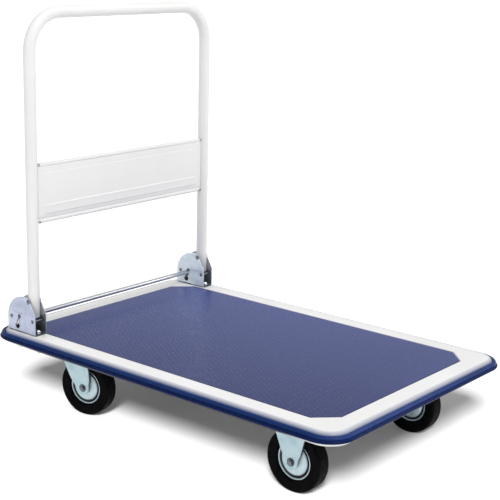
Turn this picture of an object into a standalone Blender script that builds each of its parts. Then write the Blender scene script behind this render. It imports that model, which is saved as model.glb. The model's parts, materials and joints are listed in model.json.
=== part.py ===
"""Platform trolley with a folding handle: pressed steel deck, two hinge
brackets with a foot release bar, two fixed and two swivel casters.

Frame: metres, +Z up, origin on the floor under the middle of the deck,
+X towards the front edge (away from the handle), +Y to the left.
"""

import math

import bmesh
import bpy
from mathutils import Matrix, Vector

# ----------------------------------------------------------------------------
# driving dimensions
# ----------------------------------------------------------------------------
GAP = 0.0003                 # clearance between neighbouring solids

DECK_TOP = 0.1770            # top of the pressed deck above the floor
SKIRT_X = 0.4500             # half length over the skirt
SKIRT_Y = 0.2940             # half width over the skirt
SKIRT_R = 0.0430             # plan radius of the skirt's corners
EDGE_R = 0.0075              # radius between deck top and skirt
SKIRT_BOTTOM = 0.1505
SHEET = 0.0020               # deck sheet thickness
MAT_X = 0.4045               # half length of the mat
MAT_Y = 0.2500
MAT_CHAMFER = 0.0410
MAT_THICK = 0.0020
RECESS = 0.0025              # depth of the pressed seat for the mat

BEAD_R = 0.0078              # bumper bead radius
BEAD_OUT = 0.0045            # bead centre outside the skirt
BEAD_Z = 0.1648

POST_X = -0.3590             # handle post and its pivot
POST_Y = 0.2675
TUBE_R = 0.0127
TUBE_WALL = 0.0015
HANDLE_TOP = 0.8528          # centre line of the grip bar
BEND_R = 0.0800
PIVOT_H = 0.0730             # pivot above the deck
TUBE_END_H = 0.0385          # lower end of the post above the deck

PANEL_Z0 = 0.4165
PANEL_Z1 = 0.5430
PANEL_FRONT = POST_X + 0.0053
PANEL_SHEET = 0.0015
PANEL_HALF = 0.2551

BRK_Y = 0.2680               # middle of a hinge bracket
BRK_INNER = 0.0133           # half of the clear gap between its cheeks
BRK_PLATE = 0.0025
BRK_BASE = 0.0030
BRK_REAR = -0.4250
BRK_FRONT = -0.3380
PIVOT_PIN_R = 0.0040
RIVET_R = 0.0030
SPACER_X, SPACER_H = -0.4135, 0.0320
STOP_X, STOP_H = -0.3465, 0.0315
KEY_UP = (-0.3885, 0.0355)   # upper and lower ends of the keyhole, x and height
KEY_LOW = (-0.3945, 0.0140)
KEY_UP_R = 0.0043
KEY_LOW_R = 0.0057
KEY_NECK = 0.0050

BAR_R = 0.0050
BAR_JOURNAL_R = 0.0022
BAR_COLLAR_R = 0.0040
BAR_DROP = 0.0045            # rest position below the keyhole's upper centre

BOLT_FRONT_X = -0.3475
BOLT_REAR_X = -0.4080
BOLT_R = 0.0040

WHEEL_R = 0.0625
TYRE_HALF = 0.0160
RIM_R = 0.0380
AXLE_R = 0.0050
CASTER_Y = 0.2000
FRONT_AXLE_X = 0.3030
SWIVEL_X = -0.3060
TRAIL = 0.0365
NEAR_SWIVEL = math.radians(9.0)
LEG_OUT = 0.0220             # outer face of a fork leg from the wheel's middle
LEG_PLATE = 0.0025
PLATE_TOP = 0.1587           # top of a caster's mounting plate
PLATE_THICK = 0.0035
FORK_WEB_TOP = 0.1435        # top of a swivel fork's web
KING_R = 0.0050

WHEEL_STEPS = 32

# ----------------------------------------------------------------------------
# scene and collections
# ----------------------------------------------------------------------------
for old in list(bpy.data.objects):
    bpy.data.objects.remove(old, do_unlink=True)

PARTS = bpy.data.collections.new("platform_trolley")
CUTTERS = bpy.data.collections.new("cutters")
bpy.context.scene.collection.children.link(PARTS)
bpy.context.scene.collection.children.link(CUTTERS)


def material(name, colour, roughness, metallic):
    mat = bpy.data.materials.new(name)
    mat.use_nodes = True
    bsdf = mat.node_tree.nodes["Principled BSDF"]
    bsdf.inputs["Base Color"].default_value = (*colour, 1.0)
    bsdf.inputs["Roughness"].default_value = roughness
    bsdf.inputs["Metallic"].default_value = metallic
    return mat


WHITE_PAINT = material("white_paint", (0.86, 0.86, 0.85), 0.35, 0.0)
MAT_BLUE = material("mat_blue", (0.085, 0.11, 0.30), 0.62, 0.0)
NAVY_VINYL = material("navy_vinyl", (0.012, 0.025, 0.13), 0.28, 0.0)
ZINC_LILAC = material("zinc_lilac", (0.55, 0.58, 0.70), 0.34, 0.85)
ZINC_PALE = material("zinc_pale", (0.62, 0.70, 0.74), 0.34, 0.85)
ZINC_BRIGHT = material("zinc_bright", (0.78, 0.80, 0.82), 0.20, 1.0)
TYRE_BLACK = material("tyre_black", (0.012, 0.011, 0.014), 0.55, 0.0)
SPRING_STEEL = material("spring_steel", (0.50, 0.50, 0.52), 0.30, 1.0)


def link(obj, mat=None, cutter=False):
    (CUTTERS if cutter else PARTS).objects.link(obj)
    if mat is not None:
        obj.data.materials.clear()
        obj.data.materials.append(mat)
    if cutter:
        obj.hide_render = True
        obj.display_type = "WIRE"
    return obj


def empty(name, location, rotation=(0.0, 0.0, 0.0), parent=None):
    obj = bpy.data.objects.new(name, None)
    obj.empty_display_size = 0.02
    obj.location = location
    obj.rotation_euler = rotation
    obj.parent = parent
    PARTS.objects.link(obj)
    return obj


def from_bmesh(name, bm, mat=None, cutter=False, smooth=False):
    mesh = bpy.data.meshes.new(name)
    bm.to_mesh(mesh)
    bm.free()
    obj = bpy.data.objects.new(name, mesh)
    link(obj, mat, cutter)
    if smooth:
        mesh.shade_smooth()
        mesh.set_sharp_from_angle(angle=math.radians(35))
    return obj


def box(name, low, high, mat=None, cutter=False, bevel=0.0):
    bm = bmesh.new()
    bmesh.ops.create_cube(bm, size=1.0)
    size = [h - l for l, h in zip(low, high)]
    mid = [(h + l) / 2 for l, h in zip(low, high)]
    bmesh.ops.scale(bm, vec=size, verts=bm.verts)
    obj = from_bmesh(name, bm, mat, cutter)
    obj.location = mid
    if bevel:
        mod = obj.modifiers.new("bevel", "BEVEL")
        mod.width = bevel
        mod.segments = 2
        mod.limit_method = "ANGLE"
    return obj


def cylinder(name, radius, low, high, mat=None, cutter=False, steps=24):
    """Cylinder along local Z from low to high."""
    bm = bmesh.new()
    bmesh.ops.create_cone(
        bm, cap_ends=True, segments=steps, radius1=radius, radius2=radius,
        depth=high - low,
        matrix=Matrix.Translation((0, 0, (low + high) / 2)))
    return from_bmesh(name, bm, mat, cutter, smooth=True)


def turned(name, profile, mat=None, cutter=False, steps=20, ring=False):
    """Profile of (radius, z) points turned about local Z with a Screw
    modifier. The points run down the outer side, top to bottom."""
    bm = bmesh.new()
    verts = [bm.verts.new((r, 0.0, z)) for r, z in profile]
    pairs = list(zip(verts, verts[1:]))
    if ring:
        pairs.append((verts[-1], verts[0]))
    for a, b in pairs:
        bm.edges.new((a, b))
    obj = from_bmesh(name, bm, mat, cutter)
    mod = obj.modifiers.new("turn", "SCREW")
    mod.axis = "Z"
    mod.angle = math.tau
    mod.steps = steps
    mod.render_steps = steps
    mod.use_merge_vertices = True
    mod.merge_threshold = 0.00005
    mod.use_smooth_shade = True
    return obj


def outline(name, points, half, mat=None, cutter=False):
    """Flat closed outline in local XY, extruded by half on both sides."""
    curve = bpy.data.curves.new(name, "CURVE")
    curve.dimensions = "2D"
    curve.fill_mode = "BOTH"
    curve.extrude = half
    spline = curve.splines.new("POLY")
    spline.points.add(len(points) - 1)
    for point, (a, b) in zip(spline.points, points):
        point.co = (a, b, 0.0, 1.0)
    spline.use_cyclic_u = True
    obj = bpy.data.objects.new(name, curve)
    link(obj, mat, cutter)
    return obj


def as_mesh(obj, mat=None, cutter=False):
    """The curve object as a mesh with its caps welded."""
    bpy.context.view_layer.update()
    depsgraph = bpy.context.evaluated_depsgraph_get()
    mesh = bpy.data.meshes.new_from_object(obj.evaluated_get(depsgraph))
    bm = bmesh.new()
    bm.from_mesh(mesh)
    bmesh.ops.remove_doubles(bm, verts=bm.verts, dist=0.00001)
    bm.to_mesh(mesh)
    bm.free()
    name = obj.name
    place = obj.matrix_world.copy()
    bpy.data.objects.remove(obj, do_unlink=True)
    made = bpy.data.objects.new(name, mesh)
    mesh.name = name
    link(made, mat, cutter)
    made.matrix_world = place
    return made


def side_plate(name, points, y, half, mat=None, cutter=False):
    """Outline given in X and Z, standing at y, with thickness along Y."""
    obj = outline(name, points, half, mat, cutter)
    obj.rotation_euler = (math.pi / 2, 0.0, 0.0)
    obj.location = (0.0, y, 0.0)
    return as_mesh(obj, mat, cutter)


def boolean(obj, other, operation="DIFFERENCE"):
    mod = obj.modifiers.new(operation.lower(), "BOOLEAN")
    mod.operation = operation
    mod.solver = "EXACT"
    mod.object = other
    return mod


def along_y(obj, x, y, z):
    """Local Z to world Y."""
    obj.rotation_euler = (-math.pi / 2, 0.0, 0.0)
    obj.location = (x, y, z)
    return obj


def arc(cx, cy, r, a0, a1, steps):
    return [(cx + r * math.cos(a0 + (a1 - a0) * i / steps),
             cy + r * math.sin(a0 + (a1 - a0) * i / steps))
            for i in range(steps + 1)]


def rounded(hx, hy, r, steps=8):
    """Counter-clockwise rounded rectangle."""
    points = []
    for k, (sx, sy) in enumerate(((1, 1), (-1, 1), (-1, -1), (1, -1))):
        start = k * math.pi / 2
        points += arc(sx * (hx - r), sy * (hy - r), r, start,
                      start + math.pi / 2, steps)
    return points


def octagon(hx, hy, chamfer, steps=8):
    """Octagon with the same number of points as rounded()."""
    points = []
    for sx, sy, flip in ((1, 1, False), (-1, 1, True), (-1, -1, False),
                         (1, -1, True)):
        a = Vector((sx * hx, sy * (hy - chamfer)))
        b = Vector((sx * (hx - chamfer), sy * hy))
        if flip:
            a, b = b, a
        points += [tuple(a.lerp(b, i / steps)) for i in range(steps + 1)]
    return points


# ----------------------------------------------------------------------------
# deck
# ----------------------------------------------------------------------------
def deck_pan():
    seat = MAT_CHAMFER * 1.0
    rings = [
        (octagon(MAT_X + 0.0005, MAT_Y + 0.0005, seat), DECK_TOP - RECESS),
        (octagon(MAT_X + 0.0024, MAT_Y + 0.0024, seat), DECK_TOP),
    ]
    for i in range(5):
        a = math.pi / 2 * i / 4
        out = EDGE_R * (1 - math.sin(a))
        drop = EDGE_R * (1 - math.cos(a))
        rings.append((rounded(SKIRT_X - out, SKIRT_Y - out, SKIRT_R - out),
                      DECK_TOP - drop))
    rings.append((rounded(SKIRT_X, SKIRT_Y, SKIRT_R), SKIRT_BOTTOM))
    bm = bmesh.new()
    made = [[bm.verts.new((x, y, z)) for x, y in ring] for ring, z in rings]
    bm.faces.new(made[0])
    for inner, outer in zip(made, made[1:]):
        n = len(inner)
        for i in range(n):
            j = (i + 1) % n
            bm.faces.new((inner[i], outer[i], outer[j], inner[j]))
    bmesh.ops.recalc_face_normals(bm, faces=bm.faces)
    bm.faces.ensure_lookup_table()
    if bm.faces[0].normal.z < 0:
        bmesh.ops.reverse_faces(bm, faces=bm.faces)
    obj = from_bmesh("deck_pan", bm, WHITE_PAINT, smooth=True)
    mod = obj.modifiers.new("sheet", "SOLIDIFY")
    mod.thickness = SHEET
    mod.offset = -1.0
    mod.use_even_offset = True
    return obj


pan = deck_pan()

mat_low = DECK_TOP - RECESS + GAP
mat = outline("deck_mat", octagon(MAT_X, MAT_Y, MAT_CHAMFER, 1),
              MAT_THICK / 2, MAT_BLUE)
mat.location.z = mat_low + MAT_THICK / 2

# bumper: one closed bead of D section round the skirt
flat = BEAD_OUT - GAP
half_chord = math.sqrt(BEAD_R ** 2 - flat ** 2)
open_angle = math.atan2(half_chord, -flat)
section = bpy.data.curves.new("bumper_section", "CURVE")
section.dimensions = "2D"
section.fill_mode = "NONE"
bead = arc(0, 0, BEAD_R, -open_angle, open_angle, 8)
spline = section.splines.new("POLY")
spline.points.add(len(bead) - 1)
for point, (a, b) in zip(spline.points, bead):
    point.co = (-a, b, 0.0, 1.0)
spline.use_cyclic_u = True
section_obj = link(bpy.data.objects.new("bumper_section", section), None, True)
path = bpy.data.curves.new("bumper_strip", "CURVE")
path.dimensions = "2D"
path.fill_mode = "NONE"
route = rounded(SKIRT_X + BEAD_OUT, SKIRT_Y + BEAD_OUT, SKIRT_R + BEAD_OUT)
spline = path.splines.new("POLY")
spline.points.add(len(route) - 1)
for point, (a, b) in zip(spline.points, route):
    point.co = (a, b, 0.0, 1.0)
spline.use_cyclic_u = True
path.bevel_mode = "OBJECT"
path.bevel_object = section_obj
bumper = link(bpy.data.objects.new("bumper_strip", path), NAVY_VINYL)
bumper.location.z = BEAD_Z


# ----------------------------------------------------------------------------
# members under the deck
# ----------------------------------------------------------------------------
UNDER = DECK_TOP - RECESS - SHEET - GAP      # underside of the deck's seat
BORDER_UNDER = DECK_TOP - SHEET - GAP        # underside of the deck's border


def hat(width, low, high, sheet, flange):
    """Hat section, open at the top, as an outline of (across, up)."""
    w = width / 2
    return [(-w, low), (w, low), (w, high - sheet), (w + flange, high - sheet),
            (w + flange, high), (w - sheet, high), (w - sheet, low + sheet),
            (-w + sheet, low + sheet), (-w + sheet, high), (-w - flange, high),
            (-w - flange, high - sheet), (-w, high - sheet)]


def cross_member(name, x):
    points = [(x + a, b) for a, b in hat(0.114, PLATE_TOP + GAP, UNDER, 0.002,
                                         0.014)]
    return side_plate(name, points, 0.0, 0.247, WHITE_PAINT)


front_member = cross_member("cross_member_front", FRONT_AXLE_X)
rear_member = cross_member("cross_member_rear", SWIVEL_X)
for name, y in (("left", 0.11), ("right", -0.11)):
    beam = outline("stiffener_" + name,
                   [(a, b) for a, b in hat(0.040, UNDER - 0.014, UNDER, 0.002,
                                           0.012)], 0.226, WHITE_PAINT)
    beam.rotation_euler = (math.pi / 2, 0.0, math.pi / 2)
    beam.location = (-0.0015, y, 0.0)
    as_mesh(beam, WHITE_PAINT)


# ----------------------------------------------------------------------------
# hinge brackets, their pins and bolts
# ----------------------------------------------------------------------------
BASE = DECK_TOP + GAP
key_dir = Vector((KEY_LOW[0] - KEY_UP[0], KEY_LOW[1] - KEY_UP[1]))
key_len = key_dir.length
key_dir.normalize()
BAR_X = KEY_UP[0] + key_dir.x * BAR_DROP
BAR_H = KEY_UP[1] + key_dir.y * BAR_DROP


def cheek_outline():
    """Rounded rear, flat crown, sloping front edge; x and height."""
    top = 0.0815
    r = 0.048
    back = arc(BRK_REAR + r, top - r - 0.0015, r, math.pi, math.pi / 2 + 0.12,
               7)
    crown = [(-0.3700, top - 0.0001), (-0.3620, top - 0.0004),
             (-0.3585, top - 0.0030)]
    front = [(BRK_FRONT, 0.0420), (BRK_FRONT, 0.0)]
    return [(BRK_REAR, 0.0)] + back + crown + front


def bracket(name, side):
    y = side * BRK_Y
    points = [(x, DECK_TOP + GAP + h) for x, h in cheek_outline()]
    obj = side_plate(name, points, y, BRK_INNER + BRK_PLATE, ZINC_LILAC)
    boolean(obj, box(name + "_gap", (-0.50, y - BRK_INNER, BASE + BRK_BASE),
                     (-0.30, y + BRK_INNER, BASE + 0.2), cutter=True))
    # keyhole in both cheeks: two holes joined by a neck
    for tag, (x, h), r, steps in (("up", KEY_UP, KEY_UP_R, 12),
                                  ("low", KEY_LOW, KEY_LOW_R, 16)):
        boolean(obj, along_y(cylinder(name + "_key_" + tag, r, -0.03, 0.03,
                                      cutter=True, steps=steps),
                             x, y, DECK_TOP + h))
    neck = box(name + "_neck", (-KEY_NECK / 2, -0.03, -key_len / 2),
               (KEY_NECK / 2, 0.03, key_len / 2), cutter=True)
    neck.location = ((KEY_UP[0] + KEY_LOW[0]) / 2, y,
                     DECK_TOP + (KEY_UP[1] + KEY_LOW[1]) / 2)
    neck.rotation_euler = (0.0, math.atan2(key_dir.x, key_dir.y) - math.pi,
                           0.0)
    boolean(obj, neck)
    for tag, x, h, r in (("pivot", POST_X, PIVOT_H, PIVOT_PIN_R),
                         ("spacer", SPACER_X, SPACER_H, RIVET_R),
                         ("stop", STOP_X, STOP_H, RIVET_R)):
        boolean(obj, along_y(cylinder(name + "_" + tag, r + 0.0004, -0.03,
                                      0.03, cutter=True, steps=12),
                             x, y, DECK_TOP + h))
    for tag, x in (("bf", BOLT_FRONT_X), ("br", BOLT_REAR_X)):
        hole = cylinder(name + "_" + tag, BOLT_R + 0.0004, -0.03, 0.03,
                        cutter=True, steps=12)
        hole.location = (x, y, DECK_TOP)
        boolean(obj, hole)
        boolean(pan, hole)
    return obj


def pin(name, x, y, z, r, head, steps=12):
    """Rivet pin across a bracket, a low domed head at each end."""
    reach = BRK_INNER + BRK_PLATE + GAP
    profile = [(0.0, reach + 0.0013), (head * 0.6, reach + 0.0011),
               (head, reach), (r, reach), (r, -reach), (head, -reach),
               (head * 0.6, -reach - 0.0011), (0.0, -reach - 0.0013)]
    return along_y(turned(name, profile, ZINC_BRIGHT, steps=steps), x, y, z)


def hexagon(r):
    return [(r * math.cos(math.radians(60 * k + 30)),
             r * math.sin(math.radians(60 * k + 30))) for k in range(6)]


for name, side in (("left", 1), ("right", -1)):
    y = side * BRK_Y
    bracket("bracket_" + name, side)
    pin("pivot_pin_" + name, POST_X, y, DECK_TOP + PIVOT_H, PIVOT_PIN_R,
        0.0054, 14)
    pin("spacer_pin_" + name, SPACER_X, y, DECK_TOP + SPACER_H, RIVET_R,
        0.0042)
    pin("stop_pin_" + name, STOP_X, y, DECK_TOP + STOP_H, RIVET_R, 0.0042)
    backing_low = 0.1525
    backing_high = BORDER_UNDER - 0.0005
    backing = [(-0.01025, backing_low), (0.01025, backing_low),
               (0.01025, backing_high), (0.00825, backing_high),
               (0.00825, backing_low + 0.002), (-0.00825, backing_low + 0.002),
               (-0.00825, backing_high), (-0.01025, backing_high)]
    rail = outline("backing_channel_" + name, backing, 0.0375, WHITE_PAINT)
    rail.rotation_euler = (math.pi / 2, 0.0, math.pi / 2)
    rail.location = (-0.3765, side * 0.2665, 0.0)
    rail = as_mesh(rail, WHITE_PAINT)
    for tag, x in (("front", BOLT_FRONT_X), ("rear", BOLT_REAR_X)):
        boolean(rail, bpy.data.objects["bracket_" + name +
                                       ("_bf" if tag == "front" else "_br")])
        top = BASE + BRK_BASE + GAP
        bolt = turned("bracket_bolt_%s_%s" % (name, tag), [
            (0.0, top + 0.0085), (0.0030, top + 0.0080),
            (0.0055, top + 0.0062), (0.0068, top + 0.0030), (0.0068, top),
            (BOLT_R, top), (BOLT_R, 0.1400), (0.0, 0.1400)], ZINC_BRIGHT,
            steps=12)
        bolt.location = (x, y, 0.0)
        # tall cap nut, hexagon below the rail and a domed end
        nut = outline("bracket_nut_%s_%s" % (name, tag), hexagon(0.0075),
                      0.0040, ZINC_BRIGHT)
        nut.location = (x, y, backing_low - GAP - 0.0040)
        nut = as_mesh(nut, ZINC_BRIGHT)
        dome = turned("dome_%s_%s" % (name, tag), [
            (0.0, 0.1460), (0.0058, 0.1460), (0.0058, 0.1405),
            (0.0046, 0.1365), (0.0024, 0.1348), (0.0, 0.1345)], cutter=True,
            steps=12)
        dome.location = (x, y, 0.0)
        boolean(nut, dome, "UNION")
        bore = cylinder("nut_bore_%s_%s" % (name, tag), BOLT_R + 0.0004,
                        0.1390, 0.1600, cutter=True, steps=12)
        bore.location = (x, y, 0.0)
        boolean(nut, bore)


# ----------------------------------------------------------------------------
# folding handle: parent empty on the pivot axis
# ----------------------------------------------------------------------------
PIVOT = (POST_X, 0.0, DECK_TOP + PIVOT_H)
fold = empty("handle_fold_axis", PIVOT)


def hang(obj, parent):
    """Parent obj and keep its place."""
    bpy.context.view_layer.update()
    obj.parent = parent
    obj.matrix_parent_inverse = parent.matrix_world.inverted()
    return obj


def handle_route():
    z0 = DECK_TOP + TUBE_END_H
    cz = HANDLE_TOP - BEND_R
    cy = POST_Y - BEND_R
    right = [(-POST_Y, z0)] + arc(-cy, cz, BEND_R, math.pi, math.pi / 2, 8)
    left = arc(cy, cz, BEND_R, math.pi / 2, 0.0, 8) + [(POST_Y, z0)]
    return right + left


tube_curve = bpy.data.curves.new("handle_tube", "CURVE")
tube_curve.dimensions = "3D"
tube_curve.bevel_depth = TUBE_R
tube_curve.bevel_resolution = 5
tube_curve.use_fill_caps = False
spline = tube_curve.splines.new("POLY")
route = handle_route()
spline.points.add(len(route) - 1)
for point, (y, z) in zip(spline.points, route):
    point.co = (POST_X, y, z, 1.0)
tube = as_mesh(link(bpy.data.objects.new("handle_tube", tube_curve)),
               WHITE_PAINT)
tube.data.shade_smooth()
wall = tube.modifiers.new("wall", "SOLIDIFY")
wall.thickness = TUBE_WALL
wall.offset = -1.0
for name, side in (("left", 1), ("right", -1)):
    boolean(tube, along_y(cylinder("tube_hole_" + name, PIVOT_PIN_R + 0.0004,
                                   -0.03, 0.03, cutter=True, steps=16),
                          POST_X, side * POST_Y, DECK_TOP + PIVOT_H))
hang(tube, fold)

# panel: sheet with its top and bottom edges folded back, relief notches at
# the four corners
panel = box("handle_panel", (PANEL_FRONT - PANEL_SHEET, -PANEL_HALF, PANEL_Z0),
            (PANEL_FRONT, PANEL_HALF, PANEL_Z1), WHITE_PAINT)
for tag, z0, z1 in (("top", PANEL_Z1 - PANEL_SHEET, PANEL_Z1),
                    ("bottom", PANEL_Z0, PANEL_Z0 + PANEL_SHEET)):
    lip = box("panel_lip_" + tag, (PANEL_FRONT - 0.0090, -PANEL_HALF + 0.0060,
                                   z0),
              (PANEL_FRONT - PANEL_SHEET / 2, PANEL_HALF - 0.0060, z1),
              cutter=True)
    boolean(panel, lip, "UNION")
for sy in (1, -1):
    for z in (PANEL_Z0 + 0.0022, PANEL_Z1 - 0.0022):
        notch = cylinder("panel_notch_%d_%d" % (sy, round(z * 1000)), 0.0022,
                         -0.02, 0.02, cutter=True, steps=12)
        notch.rotation_euler = (0.0, math.pi / 2, 0.0)
        notch.location = (PANEL_FRONT, sy * (PANEL_HALF - 0.0024), z)
        boolean(panel, notch)
hang(panel, fold)

# feet: plug in the post's end, collar and rounded heel
for name, side in (("left", 1), ("right", -1)):
    y = side * POST_Y
    px, pz = POST_X, DECK_TOP + PIVOT_H
    heel_r = 0.0455
    heel = [(px - 0.0115, pz - 0.0360)]
    a0 = math.atan2(-math.sqrt(heel_r ** 2 - 0.0115 ** 2), -0.0115)
    a1 = math.atan2(-math.sqrt(heel_r ** 2 - 0.0050 ** 2), 0.0050)
    heel += arc(px, pz, heel_r, a0, a1, 5)
    heel += [(px + 0.0075, pz - 0.0425), (px + 0.0075, pz - 0.0360)]
    foot = side_plate("handle_foot_" + name, heel, y, 0.0090, ZINC_PALE)
    plug = turned("foot_plug_" + name, [
        (0.0, pz - 0.0200), (0.0095, pz - 0.0200), (0.0105, pz - 0.0215),
        (0.0105, pz - 0.0348), (0.0124, pz - 0.0348), (0.0124, pz - 0.0368),
        (0.0, pz - 0.0368)], cutter=True, steps=16)
    plug.location = (px, y, 0.0)
    boolean(foot, plug, "UNION")
    hang(foot, fold)

# ----------------------------------------------------------------------------
# foot release bar and its springs
# ----------------------------------------------------------------------------
bar_z = DECK_TOP + BAR_H
inner_face = BRK_Y - BRK_INNER - BRK_PLATE
main_end = inner_face - GAP
collar_in = BRK_Y - BRK_INNER + GAP
collar_out = BRK_Y + BRK_INNER - 0.0030
half_profile = [(0.0, collar_out), (BAR_COLLAR_R - 0.0006, collar_out),
                (BAR_COLLAR_R, collar_out - 0.0006),
                (BAR_COLLAR_R, collar_in), (BAR_JOURNAL_R, collar_in),
                (BAR_JOURNAL_R, main_end), (BAR_R - 0.0006, main_end),
                (BAR_R, main_end - 0.0006)]
bar = turned("release_bar", half_profile +
             [(r, -y) for r, y in reversed(half_profile)], ZINC_BRIGHT,
             steps=16)
along_y(bar, BAR_X, 0.0, bar_z)
release = empty("release_slide", (BAR_X, 0.0, bar_z))
hang(bar, release)

SPRING_X = (KEY_UP[0] + KEY_LOW[0]) / 2
SPRING_R = 0.0032
SPRING_WIRE = 0.0005
spring_low = BASE + BRK_BASE + GAP + SPRING_WIRE
spring_high = bar_z - BAR_COLLAR_R - GAP - SPRING_WIRE
TURNS = 4
PER_TURN = 8
for name, side in (("left", 1), ("right", -1)):
    coil = bpy.data.curves.new("release_spring_" + name, "CURVE")
    coil.dimensions = "3D"
    coil.bevel_depth = SPRING_WIRE
    coil.bevel_resolution = 0
    coil.use_fill_caps = True
    spline = coil.splines.new("POLY")
    count = TURNS * PER_TURN + 1
    spline.points.add(count - 1)
    for i, point in enumerate(spline.points):
        a = math.tau * i / PER_TURN
        z = spring_low + (spring_high - spring_low) * i / (count - 1)
        point.co = (SPRING_R * math.cos(a), SPRING_R * math.sin(a), z, 1.0)
    obj = link(bpy.data.objects.new("release_spring_" + name, coil),
               SPRING_STEEL)
    obj.location = (SPRING_X, side * (BRK_Y - 0.0020), 0.0)


# ----------------------------------------------------------------------------
# casters
# ----------------------------------------------------------------------------
def wheel(tag, centre, parent):
    """Tyre and pressed rim turned about the axle. A flat of the tyre's
    facets meets the floor."""
    step = math.pi / WHEEL_STEPS
    grow = 1.0 / math.cos(step)
    r = WHEEL_R * grow
    t = TYRE_HALF
    tyre = turned("tyre_" + tag, [
        (RIM_R + 0.0040, t - 0.0008), (r - 0.0070, t), (r - 0.0020, t - 0.0030),
        (r, t - 0.0070), (r, -t + 0.0070), (r - 0.0020, -t + 0.0030),
        (r - 0.0070, -t), (RIM_R + 0.0040, -t + 0.0008),
        (RIM_R + 0.0007, -0.0108), (RIM_R + 0.0007, 0.0108)],
        TYRE_BLACK, steps=WHEEL_STEPS, ring=True)
    rim = turned("rim_" + tag, [
        (0.0095, 0.0180), (0.0115, 0.0150), (0.0260, 0.0125),
        (0.0308, 0.0095), (0.0316, 0.0060), (0.0345, 0.0060),
        (0.0352, 0.0112), (RIM_R, 0.0108), (RIM_R, -0.0108),
        (0.0352, -0.0112), (0.0345, -0.0060), (0.0316, -0.0060),
        (0.0308, -0.0095), (0.0260, -0.0125), (0.0115, -0.0150),
        (0.0095, -0.0180), (AXLE_R + 0.0004, -0.0180),
        (AXLE_R + 0.0004, 0.0180)],
        ZINC_PALE, steps=20, ring=True)
    for obj in (tyre, rim):
        obj.rotation_euler = (-math.pi / 2, step + math.pi / 2, 0.0)
        obj.rotation_mode = "XYZ"
        obj.parent = parent
        obj.location = centre
    return tyre, rim


def fork_body(name, points, top, web, mat=ZINC_PALE):
    """Channel pressed to a fork: outline extruded over both legs, then the
    middle opened below the web."""
    obj = outline(name, points, LEG_OUT, mat)
    obj.rotation_euler = (math.pi / 2, 0.0, 0.0)
    obj = as_mesh(obj, mat)
    inner = LEG_OUT - LEG_PLATE
    boolean(obj, box(name + "_slot", (-0.2, -inner, -0.1),
                     (0.2, inner, top - web), cutter=True))
    return obj


def axle_hole(obj, name, x, z):
    hole = cylinder(name + "_axle_hole", AXLE_R + 0.0004, -0.04, 0.04,
                    cutter=True, steps=16)
    hole.rotation_euler = (-math.pi / 2, 0.0, 0.0)
    hole.location = (x, 0.0, z)
    boolean(obj, hole)


def axle_set(tag, x, z, parent, outer_side):
    """Bolt with its head on the outer side and a nut inside. Local frame of
    the parent: Y across the wheel."""
    reach = LEG_OUT + GAP
    head = outline("axle_bolt_" + tag, hexagon(0.0092), 0.0030, ZINC_BRIGHT)
    head.rotation_euler = (math.pi / 2, 0.0, 0.0)
    head.location = (0.0, reach + 0.0030, 0.0)
    head = as_mesh(head, ZINC_BRIGHT)
    shank = cylinder("axle_shank_" + tag, AXLE_R, -reach - 0.0095,
                     reach + 0.0010, cutter=True, steps=16)
    shank.rotation_euler = (-math.pi / 2, 0.0, 0.0)
    boolean(head, shank, "UNION")
    nut = outline("axle_nut_" + tag, hexagon(0.0092), 0.0035, ZINC_BRIGHT)
    nut.rotation_euler = (math.pi / 2, 0.0, 0.0)
    nut.location = (0.0, -reach - 0.0035, 0.0)
    nut = as_mesh(nut, ZINC_BRIGHT)
    bore = cylinder("axle_nut_bore_" + tag, AXLE_R + 0.0004, -0.05, 0.05,
                    cutter=True, steps=16)
    bore.rotation_euler = (-math.pi / 2, 0.0, 0.0)
    boolean(nut, bore)
    pieces = (head, shank, nut, bore)
    bpy.context.view_layer.update()
    for obj in pieces:
        turn = Matrix.Rotation(0.0 if outer_side > 0 else math.pi, 4, "Z")
        obj.matrix_world = (parent.matrix_world @ Matrix.Translation((x, 0, z))
                            @ turn @ obj.matrix_world)
    for obj in pieces:
        hang(obj, parent)


def settle(obj, parent):
    """Move obj and its cutters from the caster's own frame to its place."""
    bpy.context.view_layer.update()
    movers = [obj] + [m.object for m in obj.modifiers
                      if m.type == "BOOLEAN"]
    for item in movers:
        item.matrix_world = parent.matrix_world @ item.matrix_world
    for item in movers:
        hang(item, parent)


def lean(points_left, points_right, ax, az, r):
    """Leg outline: left edge from the top down, round the axle eye, right
    edge back up."""
    left_a = math.atan2(points_left[-1][1] - az, points_left[-1][0] - ax)
    right_a = math.atan2(points_right[0][1] - az, points_right[0][0] - ax)
    if left_a < 0:
        left_a += math.tau
    eye = arc(ax, az, r, left_a, right_a + math.tau, 9)
    return points_left[:-1] + eye + points_right[1:]


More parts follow.
